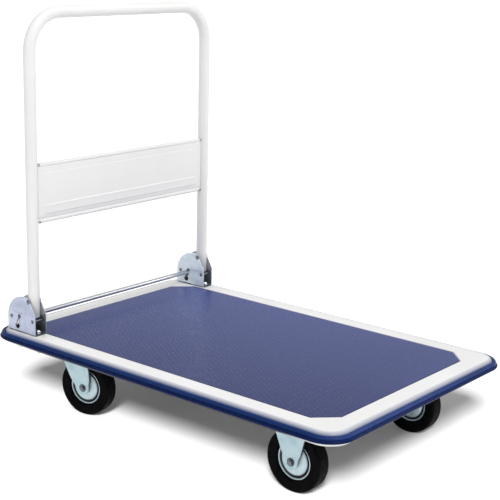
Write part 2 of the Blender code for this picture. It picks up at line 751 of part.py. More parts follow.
EYE_R = 0.0155
sides = (("left", 1), ("right", -1))
for name, side in sides:
    # fixed caster: plate and fork welded to one piece
    base = empty("front_caster_" + name, (FRONT_AXLE_X, side * CASTER_Y, 0.0))
    points = lean([(-0.0480, 0.1560), (-0.0370, 0.1150), (-0.0242, 0.0857),
                   (-0.0155, 0.0640)],
                  [(0.0155, 0.0640), (0.0235, 0.0936), (0.0284, 0.1130),
                   (0.0400, 0.1560)], 0.0, WHEEL_R, EYE_R)
    fork = fork_body("caster_fork_front_" + name, points, 0.1560, 0.0035)
    boolean(fork, box("front_plate_" + name,
                      (-0.050, -0.0420, PLATE_TOP - PLATE_THICK),
                      (0.050, 0.0420, PLATE_TOP), cutter=True), "UNION")
    axle_hole(fork, "front_" + name, 0.0, WHEEL_R)
    settle(fork, base)
    axle_set("front_" + name, 0.0, WHEEL_R, base, side)
    spin = empty("front_spin_" + name, (0.0, 0.0, WHEEL_R), parent=base)
    wheel("front_" + name, (0.0, 0.0, 0.0), spin)

    # swivel caster: fixed plate, bearing race and king pin, turning fork
    mount = empty("rear_caster_" + name, (SWIVEL_X, side * CASTER_Y, 0.0))
    plate = box("caster_plate_rear_" + name,
                (-0.050, -0.0420, PLATE_TOP - PLATE_THICK),
                (0.050, 0.0420, PLATE_TOP), ZINC_PALE)
    bore = cylinder("plate_bore_" + name, KING_R + 0.0004, 0.10, 0.20,
                    cutter=True, steps=16)
    boolean(plate, bore)
    settle(plate, mount)
    race_top = PLATE_TOP - PLATE_THICK - GAP
    race_low = FORK_WEB_TOP + GAP
    race = turned("caster_race_rear_" + name, [
        (0.0200, race_top), (0.0290, race_top - 0.0015),
        (0.0325, race_top - 0.0045), (0.0300, race_low + 0.0010),
        (0.0270, race_low), (KING_R + 0.0004, race_low),
        (KING_R + 0.0004, race_top)], ZINC_PALE, steps=16, ring=True)
    race.parent = mount
    king = turned("king_pin_rear_" + name, [
        (0.0, 0.1628), (0.0050, 0.1624), (0.0078, 0.1600),
        (0.0085, PLATE_TOP + GAP), (KING_R, PLATE_TOP + GAP),
        (KING_R, FORK_WEB_TOP - 0.0030 - GAP),
        (0.0085, FORK_WEB_TOP - 0.0030 - GAP), (0.0080, 0.1372),
        (0.0050, 0.1352), (0.0, 0.1350)], ZINC_BRIGHT, steps=16)
    king.parent = mount
    access = cylinder("member_access_" + name, 0.0120, 0.150, 0.1700,
                      cutter=True, steps=20)
    access.location = (SWIVEL_X, side * CASTER_Y, 0.0)
    boolean(rear_member, access)

    turn = NEAR_SWIVEL if side < 0 else 0.0
    swivel = empty("swivel_" + name, (SWIVEL_X, side * CASTER_Y, 0.0),
                   rotation=(0.0, 0.0, turn))
    bpy.context.view_layer.update()
    points = lean([(-0.0270, FORK_WEB_TOP), (-0.0117, 0.1128),
                   (0.0056, 0.0786), (0.0215, 0.0590)],
                  [(0.0520, 0.0620), (0.0518, 0.0835), (0.0494, 0.1080),
                   (0.0420, 0.1300), (0.0300, FORK_WEB_TOP)],
                  TRAIL, WHEEL_R, EYE_R)
    fork = fork_body("caster_fork_rear_" + name, points, FORK_WEB_TOP, 0.0030)
    king_hole = cylinder("king_hole_" + name, KING_R + 0.0004, 0.12, 0.16,
                         cutter=True, steps=16)
    boolean(fork, king_hole)
    axle_hole(fork, "rear_" + name, TRAIL, WHEEL_R)
    settle(fork, swivel)
    axle_set("rear_" + name, TRAIL, WHEEL_R, swivel, side)
    spin = empty("rear_spin_" + name, (TRAIL, 0.0, WHEEL_R), parent=swivel)
    wheel("rear_" + name, (0.0, 0.0, 0.0), spin)

bpy.context.view_layer.update()
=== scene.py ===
"""Looks of the platform trolley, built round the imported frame."""

import bmesh
import bpy
import json
import math
from mathutils import Matrix, Vector

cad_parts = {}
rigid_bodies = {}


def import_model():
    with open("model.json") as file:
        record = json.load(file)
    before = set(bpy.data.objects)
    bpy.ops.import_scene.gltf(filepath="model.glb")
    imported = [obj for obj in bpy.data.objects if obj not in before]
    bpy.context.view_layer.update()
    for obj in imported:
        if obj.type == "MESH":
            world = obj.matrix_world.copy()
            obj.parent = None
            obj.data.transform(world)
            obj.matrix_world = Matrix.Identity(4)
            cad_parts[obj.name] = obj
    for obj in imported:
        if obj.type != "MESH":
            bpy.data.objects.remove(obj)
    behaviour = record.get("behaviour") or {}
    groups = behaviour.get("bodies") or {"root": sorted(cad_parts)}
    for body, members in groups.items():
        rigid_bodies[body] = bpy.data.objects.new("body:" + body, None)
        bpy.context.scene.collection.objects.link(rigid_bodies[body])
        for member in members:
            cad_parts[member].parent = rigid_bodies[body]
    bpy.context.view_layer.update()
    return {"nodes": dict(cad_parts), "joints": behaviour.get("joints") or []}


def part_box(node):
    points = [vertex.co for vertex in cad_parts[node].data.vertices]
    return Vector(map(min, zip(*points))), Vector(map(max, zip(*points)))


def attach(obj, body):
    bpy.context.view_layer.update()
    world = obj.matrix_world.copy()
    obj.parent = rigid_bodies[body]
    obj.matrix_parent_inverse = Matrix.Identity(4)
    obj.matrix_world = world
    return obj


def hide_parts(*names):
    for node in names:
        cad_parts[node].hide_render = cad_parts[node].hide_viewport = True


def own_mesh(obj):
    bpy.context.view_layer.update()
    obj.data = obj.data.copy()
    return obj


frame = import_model()
JOINTS = {j["name"]: j for j in frame["joints"]}
SCENE = bpy.context.scene


# ----------------------------------------------------------------------------
# places read from the frame
# ----------------------------------------------------------------------------
def middle(node):
    low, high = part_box(node)
    return (low + high) / 2


pan_low, pan_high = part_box("deck_pan")
mat_low, mat_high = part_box("deck_mat")
bead_low, bead_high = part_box("bumper_strip")
SKIRT_X, SKIRT_Y, DECK_TOP = pan_high
MAT_X, MAT_Y, MAT_TOP = mat_high
SKIRT_R = 0.0430
EDGE_R = 0.0075
RECESS = 0.0025
MAT_CHAMFER = 0.0410
BEAD_Z = (bead_low.z + bead_high.z) / 2
BEAD_H = (bead_high.z - bead_low.z) / 2
BEAD_U = bead_high.x - SKIRT_X
PIVOT = Vector(JOINTS["handle_fold"]["pos_m"])
POST_X = PIVOT.x
POST_Y = middle("handle_foot_left").y
BRK_Y = middle("bracket_left").y
WHEEL_R = 0.0625
INNER, PLATE = 0.0133, 0.0025
KEY_UP, KEY_LOW = (-0.3885, 0.0355), (-0.3945, 0.0140)
SPACER, STOP = (-0.4135, 0.0320), (-0.3465, 0.0315)
PIVOT_H = PIVOT.z - DECK_TOP


# ----------------------------------------------------------------------------
# mesh helpers
# ----------------------------------------------------------------------------
def join(*parts):
    """Several (verts, faces) as one."""
    verts, faces = [], []
    for v, f in parts:
        base = len(verts)
        verts += [tuple(p) for p in v]
        faces += [tuple(i + base for i in face) for face in f]
    return verts, faces


def moved(part, matrix):
    v, f = part
    return [tuple(matrix @ Vector(p)) for p in v], f


def shift(part, x=0.0, y=0.0, z=0.0):
    return moved(part, Matrix.Translation((x, y, z)))


def make(name, part, mat, body, nodes=(), origin=None, smooth=32,
         bevel=0.0, segments=2, weld=0.00002, fix=True):
    """A piece in the row frame that rides on a body. With an origin the mesh
    keeps its local place about that matrix."""
    verts, faces = part
    mesh = bpy.data.meshes.new(name)
    mesh.from_pydata([tuple(v) for v in verts], [], faces)
    bm = bmesh.new()
    bm.from_mesh(mesh)
    if weld:
        bmesh.ops.remove_doubles(bm, verts=bm.verts, dist=weld)
    if fix:
        bmesh.ops.recalc_face_normals(bm, faces=bm.faces)
    bm.to_mesh(mesh)
    bm.free()
    mesh.validate()
    obj = bpy.data.objects.new(name, mesh)
    SCENE.collection.objects.link(obj)
    mesh.materials.append(mat)
    if origin is not None:
        obj.matrix_world = origin
    mesh.shade_smooth()
    mesh.set_sharp_from_angle(angle=math.radians(smooth))
    if bevel:
        mod = obj.modifiers.new("edge", "BEVEL")
        mod.width = bevel
        mod.segments = segments
        mod.limit_method = "ANGLE"
        mod.angle_limit = math.radians(38)
        mod.harden_normals = False
    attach(obj, body)
    if nodes:
        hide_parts(*nodes)
    return obj


def arc(cx, cy, r, a0, a1, steps):
    return [(cx + r * math.cos(a0 + (a1 - a0) * i / steps),
             cy + r * math.sin(a0 + (a1 - a0) * i / steps))
            for i in range(steps + 1)]


def rounded(hx, hy, r, steps=18):
    points = []
    for k, (sx, sy) in enumerate(((1, 1), (-1, 1), (-1, -1), (1, -1))):
        start = k * math.pi / 2
        points += arc(sx * (hx - r), sy * (hy - r), r, start,
                      start + math.pi / 2, steps)
    return points


def octagon(hx, hy, chamfer, steps=18):
    points = []
    for sx, sy, flip in ((1, 1, False), (-1, 1, True), (-1, -1, False),
                         (1, -1, True)):
        a = Vector((sx * hx, sy * (hy - chamfer)))
        b = Vector((sx * (hx - chamfer), sy * hy))
        if flip:
            a, b = b, a
        points += [tuple(a.lerp(b, i / steps)) for i in range(steps + 1)]
    return points


def loft(rings, cap_first=False, cap_last=False, loop=False):
    """Rings of 3-D points, all of one length, joined by quads."""
    n = len(rings[0])
    verts = [tuple(p) for ring in rings for p in ring]
    faces = []
    pairs = list(zip(range(len(rings) - 1), range(1, len(rings))))
    if loop:
        pairs.append((len(rings) - 1, 0))
    for a, b in pairs:
        for i in range(n):
            j = (i + 1) % n
            faces.append((a * n + i, a * n + j, b * n + j, b * n + i))
    if cap_first:
        faces.append(tuple(range(n)))
    if cap_last:
        base = (len(rings) - 1) * n
        faces.append(tuple(base + i for i in range(n)))
    return verts, faces


def sheet(grid):
    """Open grid of 3-D points, rows of equal length."""
    m = len(grid[0])
    verts = [tuple(p) for row in grid for p in row]
    faces = [(r * m + c, r * m + c + 1, (r + 1) * m + c + 1, (r + 1) * m + c)
             for r in range(len(grid) - 1) for c in range(m - 1)]
    return verts, faces


def revolve(profile, steps=48, closed=False):
    """Profile of (radius, height) turned about local Y."""
    rings = []
    for r, h in profile:
        if r < 1e-9:
            rings.append([(0.0, h, 0.0)] * steps)
        else:
            rings.append([(r * math.cos(math.tau * i / steps), h,
                           r * math.sin(math.tau * i / steps))
                          for i in range(steps)])
    verts, faces = loft(rings, loop=closed)
    return verts, faces


def upright(part):
    """From turning about Y to turning about Z."""
    v, f = part
    return [(x, -z, y) for x, y, z in v], f


def tube(points, radius, steps=24, caps=True, turn=0.0):
    """Round tube along 3-D points, with frames carried along the path."""
    pts = [Vector(p) for p in points]
    tangents = []
    for i in range(len(pts)):
        a = pts[max(i - 1, 0)]
        b = pts[min(i + 1, len(pts) - 1)]
        tangents.append((b - a).normalized())
    t = tangents[0]
    side = t.orthogonal().normalized()
    rings = []
    for i, p in enumerate(pts):
        if i:
            q = tangents[i - 1].rotation_difference(tangents[i])
            side = (q @ side).normalized()
        up = tangents[i].cross(side).normalized()
        r = radius[i] if isinstance(radius, (list, tuple)) else radius
        rings.append([p + r * (math.cos(a) * side + math.sin(a) * up)
                      for a in (turn + math.tau * k / steps
                                for k in range(steps))])
    return loft(rings, cap_first=caps, cap_last=caps)


def block(low, high):
    x0, y0, z0 = low
    x1, y1, z1 = high
    v = [(x0, y0, z0), (x1, y0, z0), (x1, y1, z0), (x0, y1, z0),
         (x0, y0, z1), (x1, y0, z1), (x1, y1, z1), (x0, y1, z1)]
    f = [(0, 3, 2, 1), (4, 5, 6, 7), (0, 1, 5, 4), (1, 2, 6, 5), (2, 3, 7, 6),
         (3, 0, 4, 7)]
    return v, f


def filled(outline, holes=()):
    """Flat face with holes, as (verts, faces) in local XY."""
    curve = bpy.data.curves.new("fill", "CURVE")
    curve.dimensions = "2D"
    curve.fill_mode = "BOTH"
    for points in [outline] + list(holes):
        spline = curve.splines.new("POLY")
        spline.points.add(len(points) - 1)
        for point, (a, b) in zip(spline.points, points):
            point.co = (a, b, 0.0, 1.0)
        spline.use_cyclic_u = True
    obj = bpy.data.objects.new("fill", curve)
    SCENE.collection.objects.link(obj)
    bpy.context.view_layer.update()
    mesh = bpy.data.meshes.new_from_object(
        obj.evaluated_get(bpy.context.evaluated_depsgraph_get()))
    verts = [tuple(v.co) for v in mesh.vertices]
    faces = [tuple(p.vertices) for p in mesh.polygons]
    bpy.data.objects.remove(obj)
    bpy.data.meshes.remove(mesh)
    return verts, faces


def extruded(outline, low, high, holes=()):
    """Outline in local XY with holes, solid from low to high in Z."""
    v, f = filled(outline, holes)
    top = [(a, b, high) for a, b, _ in v]
    bottom = [(a, b, low) for a, b, _ in v]
    parts = [(top, f), (bottom, [tuple(reversed(x)) for x in f])]
    for points in [outline] + list(holes):
        ring0 = [(a, b, low) for a, b in points]
        ring1 = [(a, b, high) for a, b in points]
        parts.append(loft([ring0, ring1]))
    return join(*parts)


def standing(part, y=0.0):
    """Local XY to world XZ, local Z to world -Y."""
    v, f = part
    return [(a, y - c, b) for a, b, c in v], f


def solid(obj, thickness, offset=-1.0, even=False):
    mod = obj.modifiers.new("sheet", "SOLIDIFY")
    mod.thickness = thickness
    mod.offset = offset
    mod.use_even_offset = even
    mod.use_quality_normals = True
    # thickness comes before the edge rounding
    names = [m.name for m in obj.modifiers]
    if "edge" in names:
        obj.modifiers.move(len(obj.modifiers) - 1, 0)
    return mod


def hexagon(r, turn=0.0):
    return [(r * math.cos(math.radians(60 * k + turn)),
             r * math.sin(math.radians(60 * k + turn))) for k in range(6)]


def hex_head(across, low, high, bore=0.0, steps=36, chamfer=0.0010):
    """Hexagon prism along local Y with its outer corners turned down."""
    rings = []

    def ring(y, limit):
        points = []
        for i in range(steps):
            a = math.tau * i / steps
            k = (a + math.pi / 6) % (math.pi / 3) - math.pi / 6
            r = across / math.cos(k) * math.cos(math.pi / 6)
            points.append((min(r, limit) * math.cos(a), y,
                           min(r, limit) * math.sin(a)))
        return points
    face = across * math.cos(math.pi / 6)
    rings.append(ring(low, 9.0))
    rings.append(ring(high - chamfer, 9.0))
    rings.append(ring(high - chamfer * 0.35, across * 0.955))
    rings.append(ring(high, face * 0.97))
    if bore:
        rings.append([(bore * math.cos(math.tau * i / steps), high,
                       bore * math.sin(math.tau * i / steps))
                      for i in range(steps)])
        rings.append([(bore * math.cos(math.tau * i / steps), low,
                       bore * math.sin(math.tau * i / steps))
                      for i in range(steps)])
        return loft(rings, loop=True)
    return loft(rings, cap_first=True, cap_last=True)


# ----------------------------------------------------------------------------
# materials
# ----------------------------------------------------------------------------
class Finish:
    """Short names for the nodes of one material."""

    def __init__(self, name, color, rough, metal=0.0, specular=0.5,
                 coat=0.0, coat_rough=0.1, sheen=0.0):
        self.mat = bpy.data.materials.new(name)
        self.mat.use_nodes = True
        self.tree = self.mat.node_tree
        self.out = next(n for n in self.tree.nodes
                        if n.type == "OUTPUT_MATERIAL")
        self.p = next(n for n in self.tree.nodes
                      if n.type == "BSDF_PRINCIPLED")
        self.p.inputs["Base Color"].default_value = (*color, 1.0)
        self.p.inputs["Roughness"].default_value = rough
        self.p.inputs["Metallic"].default_value = metal
        self.p.inputs["Specular IOR Level"].default_value = specular
        self.p.inputs["Coat Weight"].default_value = coat
        self.p.inputs["Coat Roughness"].default_value = coat_rough
        self.p.inputs["Sheen Weight"].default_value = sheen
        self.at = self.tree.nodes.new("ShaderNodeTexCoord").outputs["Object"]
        self.normal = None
        self.mat.diffuse_color = (*color, 1.0)

    def link(self, a, b):
        self.tree.links.new(a, b)

    def _put(self, socket, value):
        if isinstance(value, bpy.types.NodeSocket):
            self.link(value, socket)
        elif value is not None:
            socket.default_value = value

    def math(self, op, a, b=None, c=None, clamp=False):
        n = self.tree.nodes.new("ShaderNodeMath")
        n.operation = op
        n.use_clamp = clamp
        for i, v in enumerate((a, b, c)):
            if v is not None:
                self._put(n.inputs[i], v)
        return n.outputs[0]

    def split(self, vector):
        n = self.tree.nodes.new("ShaderNodeSeparateXYZ")
        self._put(n.inputs[0], vector)
        return n.outputs

    def vec(self, x=0.0, y=0.0, z=0.0):
        n = self.tree.nodes.new("ShaderNodeCombineXYZ")
        for i, v in enumerate((x, y, z)):
            self._put(n.inputs[i], v)
        return n.outputs[0]

    def scaled(self, sx, sy, sz, vector=None, rotate=(0.0, 0.0, 0.0)):
        n = self.tree.nodes.new("ShaderNodeMapping")
        self._put(n.inputs["Vector"], vector or self.at)
        n.inputs["Scale"].default_value = (sx, sy, sz)
        n.inputs["Rotation"].default_value = rotate
        return n.outputs[0]

    def noise(self, scale, detail=3.0, rough=0.55, vector=None, distort=0.0):
        n = self.tree.nodes.new("ShaderNodeTexNoise")
        self._put(n.inputs["Vector"], vector or self.at)
        n.inputs["Scale"].default_value = scale
        n.inputs["Detail"].default_value = detail
        n.inputs["Roughness"].default_value = rough
        n.inputs["Distortion"].default_value = distort
        return n.outputs["Fac"]

    def cells(self, scale, vector=None, feature="F1"):
        n = self.tree.nodes.new("ShaderNodeTexVoronoi")
        n.feature = feature
        self._put(n.inputs["Vector"], vector or self.at)
        n.inputs["Scale"].default_value = scale
        return n.outputs["Distance"]

    def span(self, value, a, b, low=0.0, high=1.0, smooth=False):
        n = self.tree.nodes.new("ShaderNodeMapRange")
        n.interpolation_type = "SMOOTHSTEP" if smooth else "LINEAR"
        n.clamp = True
        self._put(n.inputs["Value"], value)
        n.inputs["From Min"].default_value = a
        n.inputs["From Max"].default_value = b
        n.inputs["To Min"].default_value = low
        n.inputs["To Max"].default_value = high
        return n.outputs[0]

    def blend(self, fac, a, b, mode="MIX"):
        n = self.tree.nodes.new("ShaderNodeMix")
        n.data_type = "RGBA"
        n.blend_type = mode
        n.clamp_factor = True
        self._put(n.inputs[0], fac)
        for socket, v in ((n.inputs[6], a), (n.inputs[7], b)):
            if isinstance(v, bpy.types.NodeSocket):
                self.link(v, socket)
            else:
                socket.default_value = (*v, 1.0)
        return n.outputs[2]

    def ramp(self, fac, stops):
        n = self.tree.nodes.new("ShaderNodeValToRGB")
        self._put(n.inputs[0], fac)
        r = n.color_ramp
        while len(r.elements) < len(stops):
            r.elements.new(0.5)
        for e, (pos, col) in zip(r.elements, stops):
            e.position = pos
            e.color = (*col, 1.0)
        return n.outputs[0]

    def bump(self, height, strength, distance):
        n = self.tree.nodes.new("ShaderNodeBump")
        n.inputs["Strength"].default_value = strength
        n.inputs["Distance"].default_value = distance
        self.link(height, n.inputs["Height"])
        if self.normal is not None:
            self.link(self.normal, n.inputs["Normal"])
        self.normal = n.outputs[0]

    def done(self, color=None, rough=None):
        if color is not None:
            self.link(color, self.p.inputs["Base Color"])
        if rough is not None:
            self.link(rough, self.p.inputs["Roughness"])
        if self.normal is not None:
            self.link(self.normal, self.p.inputs["Normal"])
        return self.mat


def paint(name, color, grime=0.05):
    """Powder coat: orange peel, faint clouding, a little dust in it."""
    m = Finish(name, color, 0.36, specular=0.25, coat=0.10, coat_rough=0.18)
    cloud = m.noise(5.0, 4.0)
    speck = m.span(m.noise(420.0, 2.0, 0.6), 0.70, 0.78)
    tone = m.blend(m.span(cloud, 0.35, 0.68),
                   tuple(c * (1 - grime) for c in color),
                   tuple(min(1.0, c * (1 + grime * 0.35)) for c in color))
    tone = m.blend(m.math("MULTIPLY", speck, 0.10), tone,
                   (color[0] * 0.62, color[1] * 0.61, color[2] * 0.58))
    rough = m.span(m.noise(38.0, 3.0), 0.3, 0.7, 0.30, 0.44)
    m.bump(m.noise(650.0, 2.0, 0.5), 0.10, 0.0004)
    m.bump(m.noise(90.0, 2.0, 0.5), 0.05, 0.0010)
    return m.done(tone, rough)


def deck_paint(name, color):
    """The same coat on the deck, with painted shade: greyer just below the top, beside the mat and
    where the rolled edge starts, and darker down the rolled edge towards the bumper, where the bumper
    hides it from the light. The lip under the bumper is painted near black along the runs as shade and
    pale at the corners as painted light."""
    m = Finish(name, color, 0.38, specular=0.35, coat=0.15, coat_rough=0.2)
    x, y, z = m.split(m.at)
    cloud = m.noise(5.0, 4.0)
    tone = m.blend(m.span(cloud, 0.35, 0.68),
                   tuple(c * 0.955 for c in color),
                   tuple(min(1.0, c * 1.015) for c in color))
    fall = m.math("SUBTRACT", DECK_TOP, z)
    # painted shade: greyer just below the deck top, beside the mat and where the rolled edge starts
    below_top_shade = m.span(fall, 0.0000, 0.0009)
    tone = m.blend(below_top_shade, tone, (0.50, 0.505, 0.545))
    # painted shade: the rolled edge turns dark blue-grey towards the bumper
    roll = m.math("MAXIMUM", m.span(m.math("ABSOLUTE", x), 0.425, 0.440),
                  m.span(m.math("ABSOLUTE", y), 0.268, 0.284))
    low = m.math("MULTIPLY", roll, m.span(fall, 0.0009, 0.0042))
    tone = m.blend(low, tone, (0.25, 0.28, 0.38))
    # painted shade and light on the lip under the bumper: near black along the runs, pale at the
    # corners
    under = m.span(fall, 0.0190, 0.0200)
    corner = m.math("MULTIPLY", m.span(m.math("ABSOLUTE", x), 0.330, 0.400),
                    m.span(m.math("ABSOLUTE", y), 0.200, 0.260))
    shade = m.blend(corner, (0.012, 0.015, 0.030), (0.88, 0.88, 0.88))
    tone = m.blend(under, tone, shade)
    speck = m.span(m.noise(420.0, 2.0, 0.6), 0.70, 0.78)
    tone = m.blend(m.math("MULTIPLY", speck, 0.08), tone,
                   (0.45, 0.44, 0.42))
    m.bump(m.noise(650.0, 2.0, 0.5), 0.10, 0.0004)
    m.bump(m.noise(90.0, 2.0, 0.5), 0.05, 0.0010)
    rough = m.span(m.noise(38.0, 3.0), 0.3, 0.7, 0.32, 0.46)
    return m.done(tone, rough)


def zinc(name, deep, light, warm, rough=0.30, streak=(1.0, 1.0, 1.0)):
    """Blue-passivated zinc plate: pale with faint drifts of tint, fine
    rolling marks and small dull spots."""
    m = Finish(name, light, rough, metal=0.93, specular=0.5)
    drift = m.noise(26.0, 4.0, 0.6, distort=0.6)
    tone = m.ramp(drift, [(0.30, deep), (0.50, light), (0.72, warm)])
    spots = m.span(m.noise(310.0, 3.0, 0.7), 0.62, 0.75)
    tone = m.blend(m.math("MULTIPLY", spots, 0.22), tone,
                   tuple(c * 0.62 for c in deep))
    lines = m.noise(240.0, 2.0, 0.5,
                    vector=m.scaled(*[s * 1.0 for s in streak]))
    m.bump(lines, 0.10, 0.0003)
    m.bump(m.noise(700.0, 2.0), 0.12, 0.0002)
    r = m.span(m.noise(70.0, 3.0), 0.3, 0.7, rough * 0.82, rough * 1.25)
    return m.done(tone, r)


def bracket_zinc(name, metal=0.62):
    """Lilac zinc outside with fine mottling, painted paler and bluer on the left bracket as painted
    light. Painted shade darkens a ring round each pin and the keyhole, the inside of the U, the cut
    wall by the keyhole and a line along the hidden base."""
    m = Finish(name, (0.5, 0.54, 0.68), 0.5, metal=metal, specular=0.4)
    x, y, z = m.split(m.at)
    off = m.math("ABSOLUTE", m.math("SUBTRACT", m.math("ABSOLUTE", y),
                                    BRK_Y))
    inside = m.span(off, INNER + PLATE * 0.75, INNER + PLATE * 0.45)
    drift = m.noise(34.0, 4.0, 0.6, distort=0.6)
    tone = m.ramp(drift, [(0.30, (0.49, 0.545, 0.70)),
                          (0.52, (0.60, 0.645, 0.80)),
                          (0.74, (0.67, 0.68, 0.79))])
    # painted light: the left bracket is made paler and bluer, a lit copy of the same zinc
    tone = m.blend(m.span(y, 0.10, 0.15), tone, m.blend(
        m.span(drift, 0.35, 0.7), (0.74, 0.86, 0.93), (0.88, 0.90, 1.0)))
    grain = m.span(m.noise(430.0, 3.0, 0.75), 0.50, 0.72)
    tone = m.blend(m.math("MULTIPLY", grain, 0.45), tone,
                   (0.20, 0.23, 0.30))
    # painted shade: a dark ring round each pin and in the keyhole
    for px, ph, r in ((POST_X, PIVOT_H, 0.0066), (SPACER[0], SPACER[1],
                                                  0.0054),
                      (STOP[0], STOP[1], 0.0054), (*KEY_UP, 0.0056),
                      (*KEY_LOW, 0.0079),
                      ((KEY_UP[0] + KEY_LOW[0]) / 2,
                       (KEY_UP[1] + KEY_LOW[1]) / 2, 0.0056)):
        d = m.math("SQRT", m.math("ADD", m.math("POWER", m.math(
            "SUBTRACT", x, px), 2.0), m.math("POWER", m.math(
                "SUBTRACT", z, DECK_TOP + ph), 2.0)))
        ring = m.span(d, r, r - 0.0016)
        tone = m.blend(m.math("MULTIPLY", ring, 0.55), tone,
                       (0.10, 0.11, 0.14))
    # painted shade inside the U, darkest at the bottom and lighter towards the top
    shade = m.blend(m.span(z, DECK_TOP + 0.012, DECK_TOP + 0.058),
                    (0.080, 0.095, 0.110), (0.42, 0.43, 0.47))
    tone = m.blend(inside, tone, shade)
    # painted shade on the cut wall of the sheet round the keyhole
    keyhole_wall_shade = m.span(m.math("ABSOLUTE", m.math(
        "SUBTRACT", off, INNER + PLATE / 2)), PLATE / 2 - 0.0002,
        PLATE / 2 - 0.0006)
    about = m.span(m.math("ABSOLUTE", m.math("SUBTRACT", x, (
        KEY_UP[0] + KEY_LOW[0]) / 2)), 0.0140, 0.0120)
    keyhole_wall_shade = m.math("MULTIPLY", keyhole_wall_shade, m.math("MULTIPLY", about, m.span(
        z, DECK_TOP + 0.046, DECK_TOP + 0.043)))
    tone = m.blend(keyhole_wall_shade, tone, (0.06, 0.065, 0.08))
    # painted shadow: a dark line along the base where it meets the deck
    foot = m.span(z, DECK_TOP + 0.0014, DECK_TOP + 0.0006)
    tone = m.blend(foot, tone, (0.03, 0.03, 0.04))
    m.bump(m.noise(500.0, 3.0, 0.6), 0.25, 0.0003)
    r = m.span(m.noise(70.0, 3.0), 0.3, 0.7, 0.44, 0.60)
    return m.done(tone, r)


def bright(name, color, rough=0.14):
    """Polished or bright-plated steel with fine drawing marks."""
    m = Finish(name, color, rough, metal=1.0)
    tone = m.blend(m.span(m.noise(40.0, 3.0), 0.35, 0.7), color,
                   tuple(c * 0.86 for c in color))
    m.bump(m.noise(500.0, 2.0, vector=m.scaled(1.0, 0.04, 1.0)), 0.05, 0.0002)
    r = m.span(m.noise(120.0, 3.0), 0.3, 0.7, rough * 0.75, rough * 1.5)
    return m.done(tone, r)


def vinyl(name):
    """Extruded navy vinyl, drawn lengthwise, with a soft gloss. Painted light and shade: the upper lobe
    lighter, paler still along the front run, the lower lobe darker, with painted shade in the crease
    and along the bottom edge.
    """
    m = Finish(name, (0.008, 0.022, 0.105), 0.22, specular=0.07)
    cloud = m.noise(12.0, 4.0)
    x, y, z = m.split(m.at)
    # painted light and shade: upper lobe lighter, lower lobe darker
    lit_upper_lobe = m.span(z, BEAD_Z - 0.0012, BEAD_Z + 0.0012, smooth=True)
    tone = m.blend(lit_upper_lobe, (0.0008, 0.0080, 0.060), (0.0080, 0.029, 0.124))
    # painted light: the upper lobe is paler along the front run
    front = m.math("MULTIPLY", lit_upper_lobe, m.span(x, 0.40, 0.455))
    tone = m.blend(front, tone, (0.020, 0.042, 0.165))
    # painted shade: a dark line in the crease between the lobes
    crease_shade = m.span(m.math("ABSOLUTE", m.math("SUBTRACT", z, BEAD_Z +
                                              0.0004)), 0.0009, 0.0003)
    tone = m.blend(m.math("MULTIPLY", crease_shade, 0.45), tone,
                   (0.002, 0.004, 0.020))
    # painted shade: darker along the bottom edge
    low_edge_shade = m.span(z, BEAD_Z - 0.0058, BEAD_Z - 0.0070)
    tone = m.blend(low_edge_shade, tone, (0.002, 0.004, 0.022))
    tone = m.blend(m.span(cloud, 0.3, 0.7, 0.0, 0.35), tone,
                   (0.005, 0.014, 0.070))
    scuff = m.span(m.noise(55.0, 5.0, 0.7), 0.66, 0.80)
    tone = m.blend(m.math("MULTIPLY", scuff, 0.10), tone,
                   (0.04, 0.06, 0.16))
    m.bump(m.noise(900.0, 2.0), 0.06, 0.0002)
    m.bump(m.noise(28.0, 2.0), 0.05, 0.0015)
    r = m.span(m.noise(45.0, 4.0), 0.3, 0.75, 0.18, 0.34)
    return m.done(tone, r)


def lozenge(m, u, v, angle, length, width):
    """1 inside a rounded bar at the origin of cell coordinates u, v in
    millimetres, falling to 0 at its edge."""
    c, s = math.cos(angle), math.sin(angle)
    a = m.math("ADD", m.math("MULTIPLY", u, c), m.math("MULTIPLY", v, s))
    b = m.math("SUBTRACT", m.math("MULTIPLY", v, c),
               m.math("MULTIPLY", u, s))
    a = m.math("DIVIDE", a, length)
    b = m.math("DIVIDE", b, width)
    d = m.math("ADD", m.math("POWER", m.math("ABSOLUTE", a), 2.0),
               m.math("POWER", m.math("ABSOLUTE", b), 2.0))
    return m.span(d, 1.0, 0.25, smooth=True)


